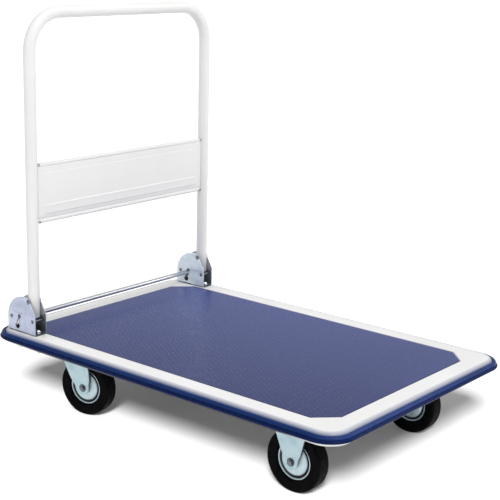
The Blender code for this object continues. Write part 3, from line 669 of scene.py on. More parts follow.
def tread_mat(name):
    """Blue anti-slip rubber: two rows of raised bars that lean opposite
    ways, over a fine grain."""
    m = Finish(name, (0.040, 0.055, 0.180), 0.34, specular=0.36)
    x, y, _ = m.split(m.at)
    pitch_x, pitch_y = 0.0177, 0.0222

    def cell(ox, oy):
        u = m.math("MULTIPLY", m.math("SUBTRACT", m.math("FRACT", m.math(
            "ADD", m.math("DIVIDE", x, pitch_x), 40.0 + ox)), 0.5),
            pitch_x * 1000)
        v = m.math("MULTIPLY", m.math("SUBTRACT", m.math("FRACT", m.math(
            "ADD", m.math("DIVIDE", y, pitch_y), 40.0 + oy)), 0.5),
            pitch_y * 1000)
        return u, v
    bars = None
    for ox, oy, angle in ((0.0, 0.0, -1), (0.5, 0.5, 1), (0.0, 0.5, -1),
                          (0.5, 0.0, 1)):
        if angle < 0:
            u, v = cell(ox, oy)
            part = lozenge(m, u, v, math.radians(-32), 7.6, 2.3)
        else:
            u, v = cell(ox, oy + 0.25)
            part = lozenge(m, u, v, math.radians(32), 7.0, 2.1)
        bars = part if bars is None else m.math("MAXIMUM", bars, part)
    cloud = m.noise(4.0, 5.0, 0.6)
    # painted sheen: lighter towards the rear far side, standing for the brighter grazing reflection
    # there
    along = m.math("ADD", m.math("MULTIPLY", x, -0.30),
                   m.math("MULTIPLY", y, 0.95))
    far_side_sheen = m.span(m.math("ADD", along, m.math("MULTIPLY", cloud, 0.12)),
                  -0.24, 0.40)
    low = m.blend(far_side_sheen, (0.010, 0.019, 0.108), (0.053, 0.076, 0.240))
    high = m.blend(far_side_sheen, (0.024, 0.039, 0.155), (0.074, 0.099, 0.290))
    tone = m.blend(bars, low, high)
    # darker towards the edge of the slab
    side_x = m.math("SUBTRACT", MAT_X, m.math("ABSOLUTE", x))
    side_y = m.math("SUBTRACT", MAT_Y, m.math("ABSOLUTE", y))
    rim = m.span(m.math("MINIMUM", side_x, side_y), 0.0, 0.0035)
    tone = m.blend(rim, (0.020, 0.028, 0.100), tone)
    dust = m.span(m.noise(85.0, 4.0, 0.7), 0.58, 0.80)
    tone = m.blend(m.math("MULTIPLY", dust, 0.18), tone, (0.20, 0.21, 0.30))
    m.bump(bars, 0.45, 0.0006)
    m.bump(m.noise(1100.0, 2.0, 0.6), 0.30, 0.0003)
    m.bump(m.noise(14.0, 2.0), 0.08, 0.0020)
    r = m.span(m.math("ADD", m.math("MULTIPLY", bars, -0.25),
                      m.noise(60.0, 3.0)), 0.1, 0.7, 0.22, 0.34)
    return m.done(tone, r)


def tyre_rubber(name):
    """Black rubber: mould marks round the tread, dull sidewall, faint
    bloom and dust."""
    m = Finish(name, (0.003, 0.003, 0.004), 0.55, specular=0.03)
    x, y, z = m.split(m.at)
    radius = m.math("SQRT", m.math("ADD", m.math("MULTIPLY", x, x),
                                   m.math("MULTIPLY", z, z)))
    bloom = m.noise(45.0, 5.0, 0.65)
    tone = m.blend(m.span(bloom, 0.40, 0.78), (0.0018, 0.0018, 0.0024),
                   (0.0050, 0.0048, 0.0056))
    wear_and_painted_reflection = m.span(radius, 0.0600, 0.0628)
    tone = m.blend(m.math("MULTIPLY", wear_and_painted_reflection, m.span(m.noise(130.0, 3.0), 0.4,
                                                   0.7)), tone,
                   (0.0095, 0.0090, 0.0095))
    rings = m.math("SINE", m.math("MULTIPLY", radius, 5200.0))
    m.bump(rings, 0.05, 0.0002)
    m.bump(m.noise(520.0, 3.0, 0.6), 0.22, 0.0003)
    r = m.span(m.noise(60.0, 3.0), 0.3, 0.7, 0.48, 0.68)
    return m.done(tone, r)


def spun(name, deep, light, rough=0.24):
    """Zinc-plated pressing for a rim: rings round the axle, with painted shade in the groove by the
    bead and in the gap round the hub.
    """
    m = Finish(name, light, rough, metal=0.72)
    x, y, z = m.split(m.at)
    radius = m.math("SQRT", m.math("ADD", m.math("MULTIPLY", x, x),
                                   m.math("MULTIPLY", z, z)))
    drift = m.noise(34.0, 4.0, 0.6, distort=0.5)
    tone = m.ramp(drift, [(0.30, deep), (0.52, light),
                          (0.74, tuple(min(1, c * 1.08) for c in light))])
    spots = m.span(m.noise(380.0, 3.0, 0.7), 0.62, 0.76)
    tone = m.blend(m.math("MULTIPLY", spots, 0.25), tone,
                   tuple(c * 0.6 for c in deep))
    # painted shade in the groove by the bead
    groove_shade = m.math("MULTIPLY", m.span(radius, 0.0300, 0.0308),
                    m.span(radius, 0.0352, 0.0346))
    tone = m.blend(m.math("MULTIPLY", groove_shade, 0.97), tone,
                   (0.012, 0.014, 0.018))
    # painted shade in the gap round the hub
    hub_gap_shade = m.math("MULTIPLY", m.span(radius, 0.0092, 0.0100),
                     m.span(radius, 0.0122, 0.0112))
    tone = m.blend(m.math("MULTIPLY", hub_gap_shade, 0.6), tone,
                   (0.10, 0.13, 0.16))
    rings = m.noise(1.0, 2.0, vector=m.vec(m.math("MULTIPLY", radius,
                                                  2600.0)))
    m.bump(rings, 0.04, 0.0002)
    m.bump(m.noise(800.0, 2.0), 0.06, 0.0002)
    r = m.span(m.noise(90.0, 3.0), 0.3, 0.7, rough * 0.85, rough * 1.25)
    return m.done(tone, r)


def dull_steel(name, color, rough=0.6, metal=0.6):
    m = Finish(name, color, rough, metal=metal)
    tone = m.blend(m.span(m.noise(90.0, 4.0, 0.7), 0.35, 0.7), color,
                   tuple(c * 0.55 for c in color))
    m.bump(m.noise(600.0, 3.0), 0.3, 0.0003)
    return m.done(tone, m.span(m.noise(140.0), 0.3, 0.7, rough * 0.8,
                               min(1.0, rough * 1.2)))


def fork_zinc(name, ax):
    """Pale zinc on a fork leg, with painted shade in a ring round the axle bolt and on the faces inside
    the channel."""
    m = Finish(name, (0.47, 0.61, 0.66), 0.36, metal=0.75)
    x, y, z = m.split(m.at)
    drift = m.noise(26.0, 4.0, 0.6, distort=0.6)
    tone = m.ramp(drift, [(0.30, (0.34, 0.48, 0.53)),
                          (0.50, (0.45, 0.59, 0.64)),
                          (0.72, (0.53, 0.62, 0.64))])
    spots = m.span(m.noise(380.0, 3.0, 0.7), 0.55, 0.72)
    tone = m.blend(m.math("MULTIPLY", spots, 0.28), tone,
                   (0.20, 0.28, 0.31))
    d = m.math("SQRT", m.math("ADD", m.math("POWER", m.math(
        "SUBTRACT", x, ax), 2.0), m.math("POWER", m.math(
            "SUBTRACT", z, WHEEL_R), 2.0)))
    # painted shade: a dark ring round the axle bolt
    ring = m.span(d, 0.0094, 0.0080)
    tone = m.blend(m.math("MULTIPLY", ring, 0.9), tone, (0.05, 0.07, 0.08))
    # painted shade on the faces inside the channel
    inner = m.span(m.math("ABSOLUTE", y), 0.0206, 0.0200)
    tone = m.blend(m.math("MULTIPLY", inner, 0.7), tone, (0.12, 0.16, 0.18))
    m.bump(m.noise(240.0, 2.0, 0.5), 0.06, 0.0003)
    r = m.span(m.noise(70.0, 3.0), 0.3, 0.7, 0.30, 0.44)
    return m.done(tone, r)


def bar_steel(name, z_mid):
    """Bright drawn bar, painted dark underneath as painted reflection and shade, grey along its top as
    painted reflection, and dark at both ends inside the brackets as painted shade.
    """
    m = Finish(name, (0.74, 0.76, 0.78), 0.22, metal=0.95)
    x, y, z = m.split(m.at)
    tone = m.blend(m.span(m.noise(40.0, 3.0), 0.35, 0.7), (0.74, 0.76, 0.78),
                   (0.64, 0.66, 0.69))
    # painted reflection and shade: dark on the underside
    underside_shade = m.span(z, z_mid - 0.0010, z_mid - 0.0032, smooth=True)
    tone = m.blend(underside_shade, tone, (0.075, 0.08, 0.095))
    # painted reflection: grey along the top
    wear_and_painted_reflection = m.span(z, z_mid + 0.0026, z_mid + 0.0046)
    tone = m.blend(wear_and_painted_reflection, tone, (0.40, 0.42, 0.44))
    # painted shade: dark where the bar passes into the brackets
    end_shade = m.span(m.math("ABSOLUTE", y), BRK_Y - INNER - PLATE - 0.0006,
                  BRK_Y - INNER)
    tone = m.blend(end_shade, tone, (0.06, 0.065, 0.075))
    r = m.span(m.noise(30.0, 3.0), 0.3, 0.7, 0.28, 0.36)
    return m.done(tone, r)


WHITE = deck_paint("off_white_coat", (0.790, 0.786, 0.786))
HANDLE_WHITE = paint("handle_coat", (0.770, 0.768, 0.758), 0.03)
UNDERSIDE = paint("underside_coat", (0.700, 0.700, 0.690), 0.10)
NAVY = vinyl("navy_vinyl_bead")
MAT_BLUE = tread_mat("blue_tread_rubber")
LILAC = bracket_zinc("lilac_zinc")
# lit copy of the bracket zinc for the left bracket: less metallic, so it shows paler as painted light
LILAC_LEFT_LIT = bracket_zinc("zinc_lilac_left_lit", 0.25)
PALE = zinc("pale_zinc", (0.36, 0.52, 0.58), (0.52, 0.68, 0.74),
            (0.62, 0.70, 0.72), 0.30, (1.0, 1.0, 0.12))
RIM_ZINC = spun("spun_zinc", (0.44, 0.56, 0.61), (0.56, 0.67, 0.72), 0.40)
CHROME = bright("bright_steel", (0.80, 0.82, 0.84))
TEAL = zinc("shaded_zinc", (0.070, 0.150, 0.185), (0.12, 0.23, 0.28),
            (0.22, 0.30, 0.34), 0.36)
STEEL = bright("dark_steel", (0.20, 0.21, 0.235), 0.34)
BOLT = bright("bolt_zinc", (0.62, 0.70, 0.72), 0.26)
RUBBER = tyre_rubber("tyre_rubber")
SPRING = bright("spring_wire", (0.09, 0.09, 0.10), 0.30)
# near-black steel used as painted shade in the panel's relief notches
DARK = dull_steel("painted_gap_shade", (0.020, 0.019, 0.018))

# ----------------------------------------------------------------------------
# deck
# ----------------------------------------------------------------------------
def ring_at(inset, z, sag=0.0):
    """Deck outline drawn in by inset. Sag lowers it at the corners."""
    points = []
    hx, hy, r = SKIRT_X - inset, SKIRT_Y - inset, SKIRT_R - inset
    for k, (x, y) in enumerate(rounded(hx, hy, r)):
        t = k % 19 / 18.0
        points.append((x, y, z - sag * math.sin(math.pi * t)))
    return points


def oct_at(grow, z):
    return [(x, y, z) for x, y in octagon(MAT_X + grow, MAT_Y + grow,
                                          MAT_CHAMFER)]


def mixed(a, b, t):
    return [tuple(Vector(p).lerp(Vector(q), t)) for p, q in zip(a, b)]


SKIRT_LOW = pan_low.z + 0.0004
seat = oct_at(0.0006, DECK_TOP - RECESS)
lip_low = oct_at(0.0010, DECK_TOP - 0.0012)
lip_mid = oct_at(0.0018, DECK_TOP - 0.0003)
lip_top = oct_at(0.0029, DECK_TOP - 0.00002)
flat_in = oct_at(0.0042, DECK_TOP)
EDGE_IN = 0.0108
flat_out = ring_at(EDGE_IN + 0.0008, DECK_TOP)
rings = [mixed(seat, [(0, 0, seat[0][2])] * len(seat), 0.5), seat, lip_low,
         lip_mid, lip_top, flat_in, mixed(flat_in, flat_out, 0.5), flat_out]
for a in [math.pi / 2 * k / 9 for k in range(10)]:
    rings.append(ring_at(EDGE_IN * (1 - math.sin(a)),
                         DECK_TOP - EDGE_R * (1 - math.cos(a))))
rings += [ring_at(0.0, 0.1660), ring_at(0.0, 0.1580),
          ring_at(0.0, SKIRT_LOW + 0.0004),
          ring_at(0.0003, SKIRT_LOW), ring_at(0.0017, SKIRT_LOW),
          ring_at(0.0020, SKIRT_LOW + 0.0004), ring_at(0.0020, 0.1680)]
for a in [math.pi / 2 * k / 5 for k in range(6)]:
    rings.append(ring_at(0.0020 + (EDGE_IN - 0.002) * (1 - math.cos(a)),
                         DECK_TOP - EDGE_R + (EDGE_R - 0.0022) *
                         math.sin(a)))
rings += [mixed(ring_at(EDGE_IN, DECK_TOP - 0.0021), oct_at(
    0.0, DECK_TOP - 0.002), 0.55), oct_at(0.0050, DECK_TOP - 0.0022),
    oct_at(0.0005, DECK_TOP - RECESS - 0.002),
    mixed(oct_at(0.0, DECK_TOP - RECESS - 0.002),
          [(0, 0, DECK_TOP - RECESS - 0.002)] * len(seat), 0.5)]
make("deck_shell", loft(rings, cap_first=True, cap_last=True), WHITE, "deck",
     ["deck_pan"], smooth=40)

# mat: flat slab with a soft edge
mat_rings = [oct_at(-0.0006, mat_low.z), oct_at(-0.0001, mat_low.z + 0.0004),
             oct_at(-0.0001, MAT_TOP - 0.0009), oct_at(-0.0004, MAT_TOP - 0.0004),
             oct_at(-0.0010, MAT_TOP - 0.0001), oct_at(-0.0018, MAT_TOP)]
make("deck_mat_tread", loft(mat_rings, cap_first=True, cap_last=True),
     MAT_BLUE, "deck", ["deck_mat"], smooth=50)

# bumper: extruded strip with two lobes and a crease between them
bead = [(0.0003, 0.0058), (0.0012, 0.0068), (0.0026, 0.0075),
        (0.0042, 0.0078), (0.0058, 0.0075), (0.0072, 0.0066),
        (0.0084, 0.0050), (0.0091, 0.0032), (0.0091, 0.0018),
        (0.0084, 0.0009), (0.0078, 0.0004), (0.0085, 0.0000),
        (0.0101, -0.0005), (0.0114, -0.0015), (0.0121, -0.0029),
        (0.0120, -0.0044), (0.0112, -0.0058), (0.0098, -0.0068),
        (0.0080, -0.0075), (0.0058, -0.0078), (0.0030, -0.0078),
        (0.0003, -0.0072)]
bead_rings = []
for u, z in bead:
    ring = []
    for k, (x, y) in enumerate(rounded(SKIRT_X + u, SKIRT_Y + u,
                                       SKIRT_R + u, 18)):
        t = k % 19 / 18.0
        corner = math.sin(math.pi * t)
        ring.append((x, y, BEAD_Z + z * (1 - 0.07 * corner)))
    bead_rings.append(ring)
make("bumper_bead", loft(bead_rings, loop=True), NAVY, "deck",
     ["bumper_strip"], smooth=50)

# ----------------------------------------------------------------------------
# hinge brackets: one bent sheet each, on the sheet's middle line
# ----------------------------------------------------------------------------
BASE = DECK_TOP + 0.0003
BRK_REAR, BRK_FRONT = -0.4250, -0.3380
BOLTS = (("front", -0.3475), ("rear", -0.4080))


def keyhole(steps=14):
    """Upper and lower holes joined by a neck, as one outline."""
    (ux, uz), (lx, lz) = KEY_UP, KEY_LOW
    d = Vector((lx - ux, lz - uz)).normalized()
    n = Vector((-d.y, d.x))
    half = 0.0025
    points = []
    base_up = math.atan2(-d.y, -d.x)
    open_up = math.asin(half / 0.0043)
    for i in range(steps + 1):
        a = base_up - (math.pi - open_up) + 2 * (math.pi - open_up) * i / steps
        points.append((ux + 0.0043 * math.cos(a), uz + 0.0043 * math.sin(a)))
    base_low = math.atan2(d.y, d.x)
    open_low = math.asin(half / 0.0065)
    for i in range(steps + 1):
        a = base_low - (math.pi - open_low) + 2 * (math.pi - open_low) * i / steps
        points.append((lx + 0.0065 * math.cos(a), lz + 0.0065 * math.sin(a)))
    return points


def circle(x, z, r, steps=20):
    return [(x + r * math.cos(math.tau * k / steps),
             z + r * math.sin(math.tau * k / steps)) for k in range(steps)]


def bracket(name, side):
    y0 = side * BRK_Y
    mid = INNER + PLATE / 2
    bend = 0.0042
    top, r = 0.0815, 0.048
    line = arc(BRK_REAR + r, top - r - 0.0015, r, math.pi, math.pi / 2 + 0.12,
               16)
    crown = [(-0.3742, top - 0.00005), (-0.3700, top - 0.0001),
             (-0.3640, top - 0.0003), (-0.3612, top - 0.0009),
             (-0.3595, top - 0.0020), (-0.3583, top - 0.0036)]
    front = [(BRK_FRONT + 0.0006, 0.0436), (BRK_FRONT, 0.0415)]
    cheek = ([(BRK_REAR, bend)] + line + crown + front + [(BRK_FRONT, bend)])
    holes = [keyhole(), circle(POST_X, PIVOT_H - 0.0003, 0.0043),
             circle(SPACER[0], SPACER[1] - 0.0003, 0.0034),
             circle(STOP[0], STOP[1] - 0.0003, 0.0034)]
    flat_v, flat_f = filled(cheek, holes)
    parts = []
    for s in (1, -1):
        parts.append(([(x, y0 + s * mid, BASE + h) for x, h, _ in flat_v],
                      flat_f))
        bend_rows = []
        for i in range(7):
            a = math.pi / 2 * i / 6
            yy = mid - bend + bend * math.sin(a) + 0.0
            zz = BASE + PLATE / 2 + (bend - PLATE / 2) * (1 - math.cos(a))
            bend_rows.append([(x, y0 + s * yy, zz) for x in (BRK_REAR,
                                                            BRK_FRONT)])
        parts.append(sheet(bend_rows))
    inner = mid - bend
    parts.append(sheet([[(x, y0 - inner, BASE + PLATE / 2) for x in (
        BRK_REAR, BRK_FRONT)], [(x, y0 + inner, BASE + PLATE / 2) for x in (
            BRK_REAR, BRK_FRONT)]]))
    obj = make("hinge_bracket_" + name, join(*parts),
               LILAC if side < 0 else LILAC_LEFT_LIT, "deck",
               ["bracket_" + name], smooth=35, bevel=0.0004)
    solid(obj, PLATE - 0.0001, offset=0.0)
    return obj


def rivet(name, x, y, z, r, head, body, node):
    reach = INNER + PLATE + 0.0001
    head *= 0.86
    end = [(0.0, 0.0013), (head * 0.35, 0.00125), (head * 0.65, 0.00105),
           (head * 0.88, 0.0006), (head, 0.0001), (head * 0.97, 0.0)]
    profile = [(a, reach + b) for a, b in end] + [(r, reach), (r, -reach)] + [
        (a, -reach - b) for a, b in reversed(end)]
    make(name, shift(revolve(profile, 28), x, y, z), STEEL, body, [node],
         smooth=40)


for name, side in (("left", 1), ("right", -1)):
    y = side * BRK_Y
    bracket(name, side)
    rivet("pivot_rivet_" + name, POST_X, y, PIVOT.z, 0.0039, 0.0054, "deck",
          "pivot_pin_" + name)
    rivet("spacer_rivet_" + name, SPACER[0], y, DECK_TOP + SPACER[1], 0.0029,
          0.0042, "deck", "spacer_pin_" + name)
    rivet("stop_rivet_" + name, STOP[0], y, DECK_TOP + STOP[1], 0.0029,
          0.0042, "deck", "stop_pin_" + name)
    for tag, x in BOLTS:
        seat_z = BASE + 0.0030
        profile = [(0.0, seat_z + 0.0085), (0.0016, seat_z + 0.0084),
                   (0.0032, seat_z + 0.0079), (0.0047, seat_z + 0.0069),
                   (0.0059, seat_z + 0.0054), (0.0066, seat_z + 0.0036),
                   (0.0068, seat_z + 0.0012), (0.0066, seat_z - 0.0003),
                   (0.0039, seat_z - 0.0003), (0.0039, 0.1403),
                   (0.0034, 0.1400), (0.0, 0.1400)]
        # the rear bolts, seen only in the shade inside the bracket, get the dark spring steel as
        # painted shade
        make("bolt_%s_%s" % (name, tag), shift(upright(revolve(profile, 32)),
                                               x, y, 0.0),
             CHROME if tag == "front" else SPRING, "deck",
             ["bracket_bolt_%s_%s" % (name, tag)],
             smooth=40)
        # cap nut: hexagon with turned corners, then a domed end
        nut = moved(hex_head(0.0075, -0.0040, 0.0040), Matrix.Rotation(
            math.pi / 2, 4, "X"))
        nut = shift(nut, x, y, 0.1482)
        dome = shift(upright(revolve([
            (0.0, 0.1452), (0.0058, 0.1450), (0.0058, 0.1404),
            (0.0055, 0.1386), (0.0048, 0.1368), (0.0037, 0.1355),
            (0.0021, 0.1347), (0.0, 0.1345)], 28)), x, y, 0.0)
        make("cap_nut_%s_%s" % (name, tag), join(nut, dome), CHROME, "deck",
             ["bracket_nut_%s_%s" % (name, tag)], smooth=30)

# ----------------------------------------------------------------------------
# handle
# ----------------------------------------------------------------------------
tube_low, tube_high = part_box("handle_tube")
BEND_R = 0.0800
TUBE_R = (tube_high.x - tube_low.x) / 2 - 0.0001
LINE_TOP = tube_high.z - TUBE_R - 0.0001
z0 = tube_low.z
cy, cz = POST_Y - BEND_R, LINE_TOP - BEND_R
route = [(-POST_Y, z0), (-POST_Y, z0 + 0.05), (-POST_Y, 0.4), (-POST_Y, 0.6)]
route += arc(-cy, cz, BEND_R, math.pi, math.pi / 2, 22)
route += [(-cy / 2, LINE_TOP), (0.0, LINE_TOP), (cy / 2, LINE_TOP)]
route += arc(cy, cz, BEND_R, math.pi / 2, 0.0, 22)
route += [(POST_Y, 0.6), (POST_Y, 0.4), (POST_Y, z0 + 0.05), (POST_Y, z0)]
handle = make("handle_tube_bent", tube([(POST_X, y, z) for y, z in route],
                                       TUBE_R, 36, caps=False),
              HANDLE_WHITE, "handle", ["handle_tube"],
              smooth=60, weld=0.0)
solid(handle, 0.0015)

panel_low, panel_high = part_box("handle_panel")
PZ0, PZ1 = panel_low.z, panel_high.z
PX = panel_high.x
HALF = panel_high.y
PROUD = 0.0012
# pressed profile down the panel: (height above the lower edge, depth)
press = [(0.0000, -0.0016), (0.0003, -0.0008), (0.0009, -0.0001),
         (0.0022, 0.0003), (0.0040, 0.0004), (0.0058, 0.0002),
         (0.0070, -0.0002), (0.0080, -0.0007), (0.0086, -0.0009),
         (0.0094, -0.0004), (0.0104, 0.0000), (0.0166, 0.0000),
         (0.0174, 0.0002), (0.0184, 0.0009), (0.0194, 0.0011),
         (0.0210, 0.0011), (0.0340, 0.0011), (0.0352, 0.0012),
         (0.0360, 0.0015), (0.0368, 0.0012), (0.0378, 0.0005),
         (0.0388, 0.0003), (0.0400, 0.0003), (0.1035, 0.0003),
         (0.1045, 0.0002), (0.1055, -0.0001), (0.1065, -0.0003),
         (0.1075, -0.0003), (0.1172, -0.0003), (0.1184, -0.0005),
         (0.1192, -0.0009), (0.1198, -0.0006), (0.1206, 0.0001),
         (0.1220, 0.0005), (0.1238, 0.0006), (0.1254, 0.0003),
         (0.1262, -0.0005), (0.1265, -0.0016)]
span_z = PZ1 - PZ0
rows = []
columns = [-HALF + 0.0012]
columns += [-HALF + 0.0022 + 0.0028 * i for i in range(12)]
columns += [-HALF + 0.045 + (2 * HALF - 0.09) * i / 20 for i in range(21)]
columns += [HALF - 0.0022 - 0.0028 * i for i in range(11, -1, -1)]
columns += [HALF - 0.0012]
for h, d in press:
    row = []
    for y in columns:
        edge = HALF - abs(y)
        inside = 0.0094 < h < 0.1185
        t = max(0.0, min(1.0, (edge - 0.010) / 0.018))
        t = t * t * (3 - 2 * t)
        depth = d * (t if inside else 1.0)
        # hems stop short of the posts, with a notch there
        z = PZ0 + h * span_z / 0.1265
        if edge < 0.0035 and (h < 0.0009 or h > 0.1254):
            z = PZ0 + (0.0032 if h < 0.06 else span_z - 0.0032)
            depth = -0.0004
        row.append((PX + depth - 0.0008, y, z))
    rows.append(row)
panel = make("handle_panel_pressed", sheet(rows), HANDLE_WHITE, "handle",
             ["handle_panel"], smooth=60, weld=0.00001,
             fix=False)
solid(panel, 0.0014, offset=-1.0)
# hems turned back at both edges
for tag, z_edge, way in (("top", PZ1, -1), ("bottom", PZ0, 1)):
    hem_rows = []
    for a, b in ((0.0016, 0.0), (0.0030, 0.0), (0.0060, 0.0), (0.0085, 0.0),
                 (0.0088, 0.0003), (0.0088, 0.0014), (0.0084, 0.0016),
                 (0.0030, 0.0016), (0.0020, 0.0018)):
        hem_rows.append([(PX - a, y, z_edge + way * (b + 0.0001)) for y in (
            -HALF + 0.0062, -0.1, 0.1, HALF - 0.0062)])
    make("panel_hem_" + tag, sheet(hem_rows), HANDLE_WHITE, "handle",
         smooth=45)

# relief notches at the four corners: small dished pieces in near black, painted shade standing for the
# dark inside of the holes
for tag, sy in (("left", 1), ("right", -1)):
    for level, z in (("low", PZ0 + 0.0026), ("high", PZ1 - 0.0026)):
        dish = revolve([(0.0, -0.0012), (0.0014, -0.0011), (0.0021, -0.0005),
                        (0.0024, 0.0002), (0.0026, 0.0003),
                        (0.0025, -0.0008), (0.0, -0.0016)], 20)
        dish = moved(dish, Matrix.Translation((PX + 0.0003, sy *
                                               (HALF - 0.0030), z)) @
                     Matrix.Rotation(-math.pi / 2, 4, "Z"))
        make("panel_notch_%s_%s" % (tag, level), dish, DARK, "handle",
             smooth=50)

for name, side in (("left", 1), ("right", -1)):
    y = side * POST_Y
    px, pz = POST_X, PIVOT.z
    heel_r = 0.0455
    a0 = math.atan2(-math.sqrt(heel_r ** 2 - 0.0115 ** 2), -0.0115)
    a1 = math.atan2(-math.sqrt(heel_r ** 2 - 0.0050 ** 2), 0.0050)
    heel = [(px - 0.0115, pz - 0.0360)]
    heel += arc(px, pz, heel_r, a0 + 0.02, a1, 14)
    heel += [(px + 0.0068, pz - 0.0438), (px + 0.0074, pz - 0.0424),
             (px + 0.0075, pz - 0.0360)]
    part = standing(extruded(heel, -0.0089, 0.0089), y)
    plug = shift(upright(revolve([
        (0.0, pz - 0.0202), (0.0095, pz - 0.0202), (0.0104, pz - 0.0214),
        (0.0104, pz - 0.0348), (0.0118, pz - 0.0348), (0.0123, pz - 0.0352),
        (0.0123, pz - 0.0364), (0.0118, pz - 0.0368), (0.0, pz - 0.0368)],
        32)), px, y, 0.0)
    make("post_foot_" + name, join(part, plug), TEAL, "handle",
         ["handle_foot_" + name], smooth=35, bevel=0.0006)

# ----------------------------------------------------------------------------
# release bar and springs
# ----------------------------------------------------------------------------
bar_mid = middle("release_bar")
bar_low, bar_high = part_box("release_bar")
inner_face = BRK_Y - INNER - PLATE
main_end = inner_face - 0.0003
collar_in = BRK_Y - INNER + 0.0003
collar_out = bar_high.y
BAR_R = (bar_high.x - bar_low.x) / 2
half = [(0.0, collar_out), (0.0030, collar_out), (0.0036, collar_out - 0.0002),
        (0.0040, collar_out - 0.0007), (0.0040, collar_in + 0.0004),
        (0.0037, collar_in), (0.0022, collar_in), (0.0022, main_end),
        (BAR_R - 0.0008, main_end), (BAR_R - 0.0003, main_end - 0.0003),
        (BAR_R - 0.0001, main_end - 0.0008), (BAR_R - 0.0001, 0.12)]
bar_profile = half + [(r, -h) for r, h in reversed(half)]
make("foot_bar", shift(revolve(bar_profile, 40), bar_mid.x, 0.0, bar_mid.z),
     bar_steel("drawn_bar_steel", bar_mid.z), "release", ["release_bar"], smooth=40)
for name, side in (("left", 1), ("right", -1)):
    low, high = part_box("release_spring_" + name)
    c = (low + high) / 2
    turns, per = 4.5, 20
    coil = []
    for i in range(int(turns * per) + 1):
        t = i / (turns * per)
        a = math.tau * turns * t
        ease = t * t * (3 - 2 * t)
        z = low.z + 0.0006 + (high.z - low.z - 0.0012) * (0.35 * ease +
                                                         0.65 * t)
        coil.append((c.x + 0.0032 * math.cos(a), c.y + 0.0032 * math.sin(a),
                     z))
    spring = make("coil_" + name, tube(coil, 0.00048, 10), SPRING, "deck",
                  ["release_spring_" + name], smooth=60,
                  weld=0.0)
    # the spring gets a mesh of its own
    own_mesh(spring)

# ----------------------------------------------------------------------------
# casters
# ----------------------------------------------------------------------------
LEG_OUT, LEG_PLATE, EYE_R = 0.0220, 0.0025, 0.0155
PLATE_TOP, PLATE_THICK = 0.1587, 0.0035


def leg_outline(left, right, ax, az, r, steps=26):
    left_a = math.atan2(left[-1][1] - az, left[-1][0] - ax)
    right_a = math.atan2(right[0][1] - az, right[0][0] - ax)
    if left_a < 0:
        left_a += math.tau
    return left[:-1] + arc(ax, az, r, left_a, right_a + math.tau,
                           steps) + right[1:]


def smoothed(points, times=2, keep=(0, -1)):
    """Corners of an open line cut round, its ends kept."""
    for _ in range(times):
        out = [points[0]]
        for a, b in zip(points[:-1], points[1:]):
            a, b = Vector(a), Vector(b)
            if a is not points[0]:
                out.append(tuple(a.lerp(b, 0.25)))
            out.append(tuple(a.lerp(b, 0.75)))
        out.append(points[-1])
        points = out
    return points


def bent_fork(name, left, right, ax, top, bend, holes, place, node, body,
              lip=0.0, web_hole=0.0):
    """Channel pressed to a fork: web on top, a bend down each side and a leg
    with a stiffening lip along its edges. Middle line of the sheet."""
    mid = LEG_OUT - LEG_PLATE / 2
    t = top - LEG_PLATE / 2
    cut = t - bend

    def clip(points):
        """Stop the line at the bend."""
        out = []
        for a, b in zip(points[:-1], points[1:]):
            if (a[1] - cut) * (b[1] - cut) < 0:
                k = (cut - a[1]) / (b[1] - a[1])
                p = (a[0] + (b[0] - a[0]) * k, cut)
                if a[1] > cut:
                    out = [p]
                else:
                    out.append(a)
                    out.append(p)
                    return out
            elif a[1] <= cut:
                out.append(a)
        if points[-1][1] <= cut:
            out.append(points[-1])
        return out
    left_s = smoothed([Vector(p) for p in left], 2)
    right_s = smoothed([Vector(p) for p in right], 2)
    left_c = clip([tuple(p) for p in left_s])
    right_c = clip([tuple(p) for p in right_s])
    x_left, x_right = left_c[0][0], right_c[-1][0]
    outline_pts = leg_outline(left_c, right_c, ax, WHEEL_R, EYE_R)
    flat_v, flat_f = filled(outline_pts, [circle(ax, WHEEL_R, 0.0053, 28)])
    parts = []
    xl_top, xr_top = left[0][0], right[-1][0]
    for s in (1, -1):
        parts.append(([(x, s * mid, h) for x, h, _ in flat_v], flat_f))
        rows = []
        for i in range(8):
            a = math.pi / 2 * i / 7
            k = math.sin(a)
            rows.append([(x_left + (xl_top - x_left) * k,
                          s * (mid - bend * (1 - math.cos(a))),
                          cut + bend * math.sin(a)),
                         (x_right + (xr_top - x_right) * k,
                          s * (mid - bend * (1 - math.cos(a))),
                          cut + bend * math.sin(a))])
        parts.append(sheet(rows))
    if web_hole:
        web = [(xl_top, -mid + bend), (xr_top, -mid + bend),
               (xr_top, mid - bend), (xl_top, mid - bend)]
        v, f = filled(web, [circle(0.0, 0.0, web_hole, 28)])
        parts.append(([(x, y, t) for x, y, _ in v], f))
    else:
        parts.append(sheet([[(xl_top, -mid + bend, t), (xr_top, -mid + bend,
                                                        t)],
                            [(xl_top, mid - bend, t), (xr_top, mid - bend,
                                                       t)]]))
    finish = fork_zinc(name + "_zinc", ax)
    obj = make(name, join(*parts), finish, body, [node], origin=place,
               smooth=35, bevel=0.0005)
    solid(obj, LEG_PLATE - 0.0001, offset=0.0)
    # pressed lips along the front and rear edges of both legs
    if lip:
        lips = []
        for line in (left_c, right_c):
            for s in (1, -1):
                rows = []
                for x, h in line:
                    if h < WHEEL_R + 0.010:
                        continue
                    rows.append([(x, s * (LEG_OUT - 0.0001), h),
                                 (x, s * (LEG_OUT - lip), h)])
                if len(rows) > 1:
                    lips.append(sheet(rows))
        if lips:
            edge = make(name + "_lips", join(*lips), finish, body, (),
                        origin=place, smooth=50)
            solid(edge, 0.0018, offset=0.0)
    return obj


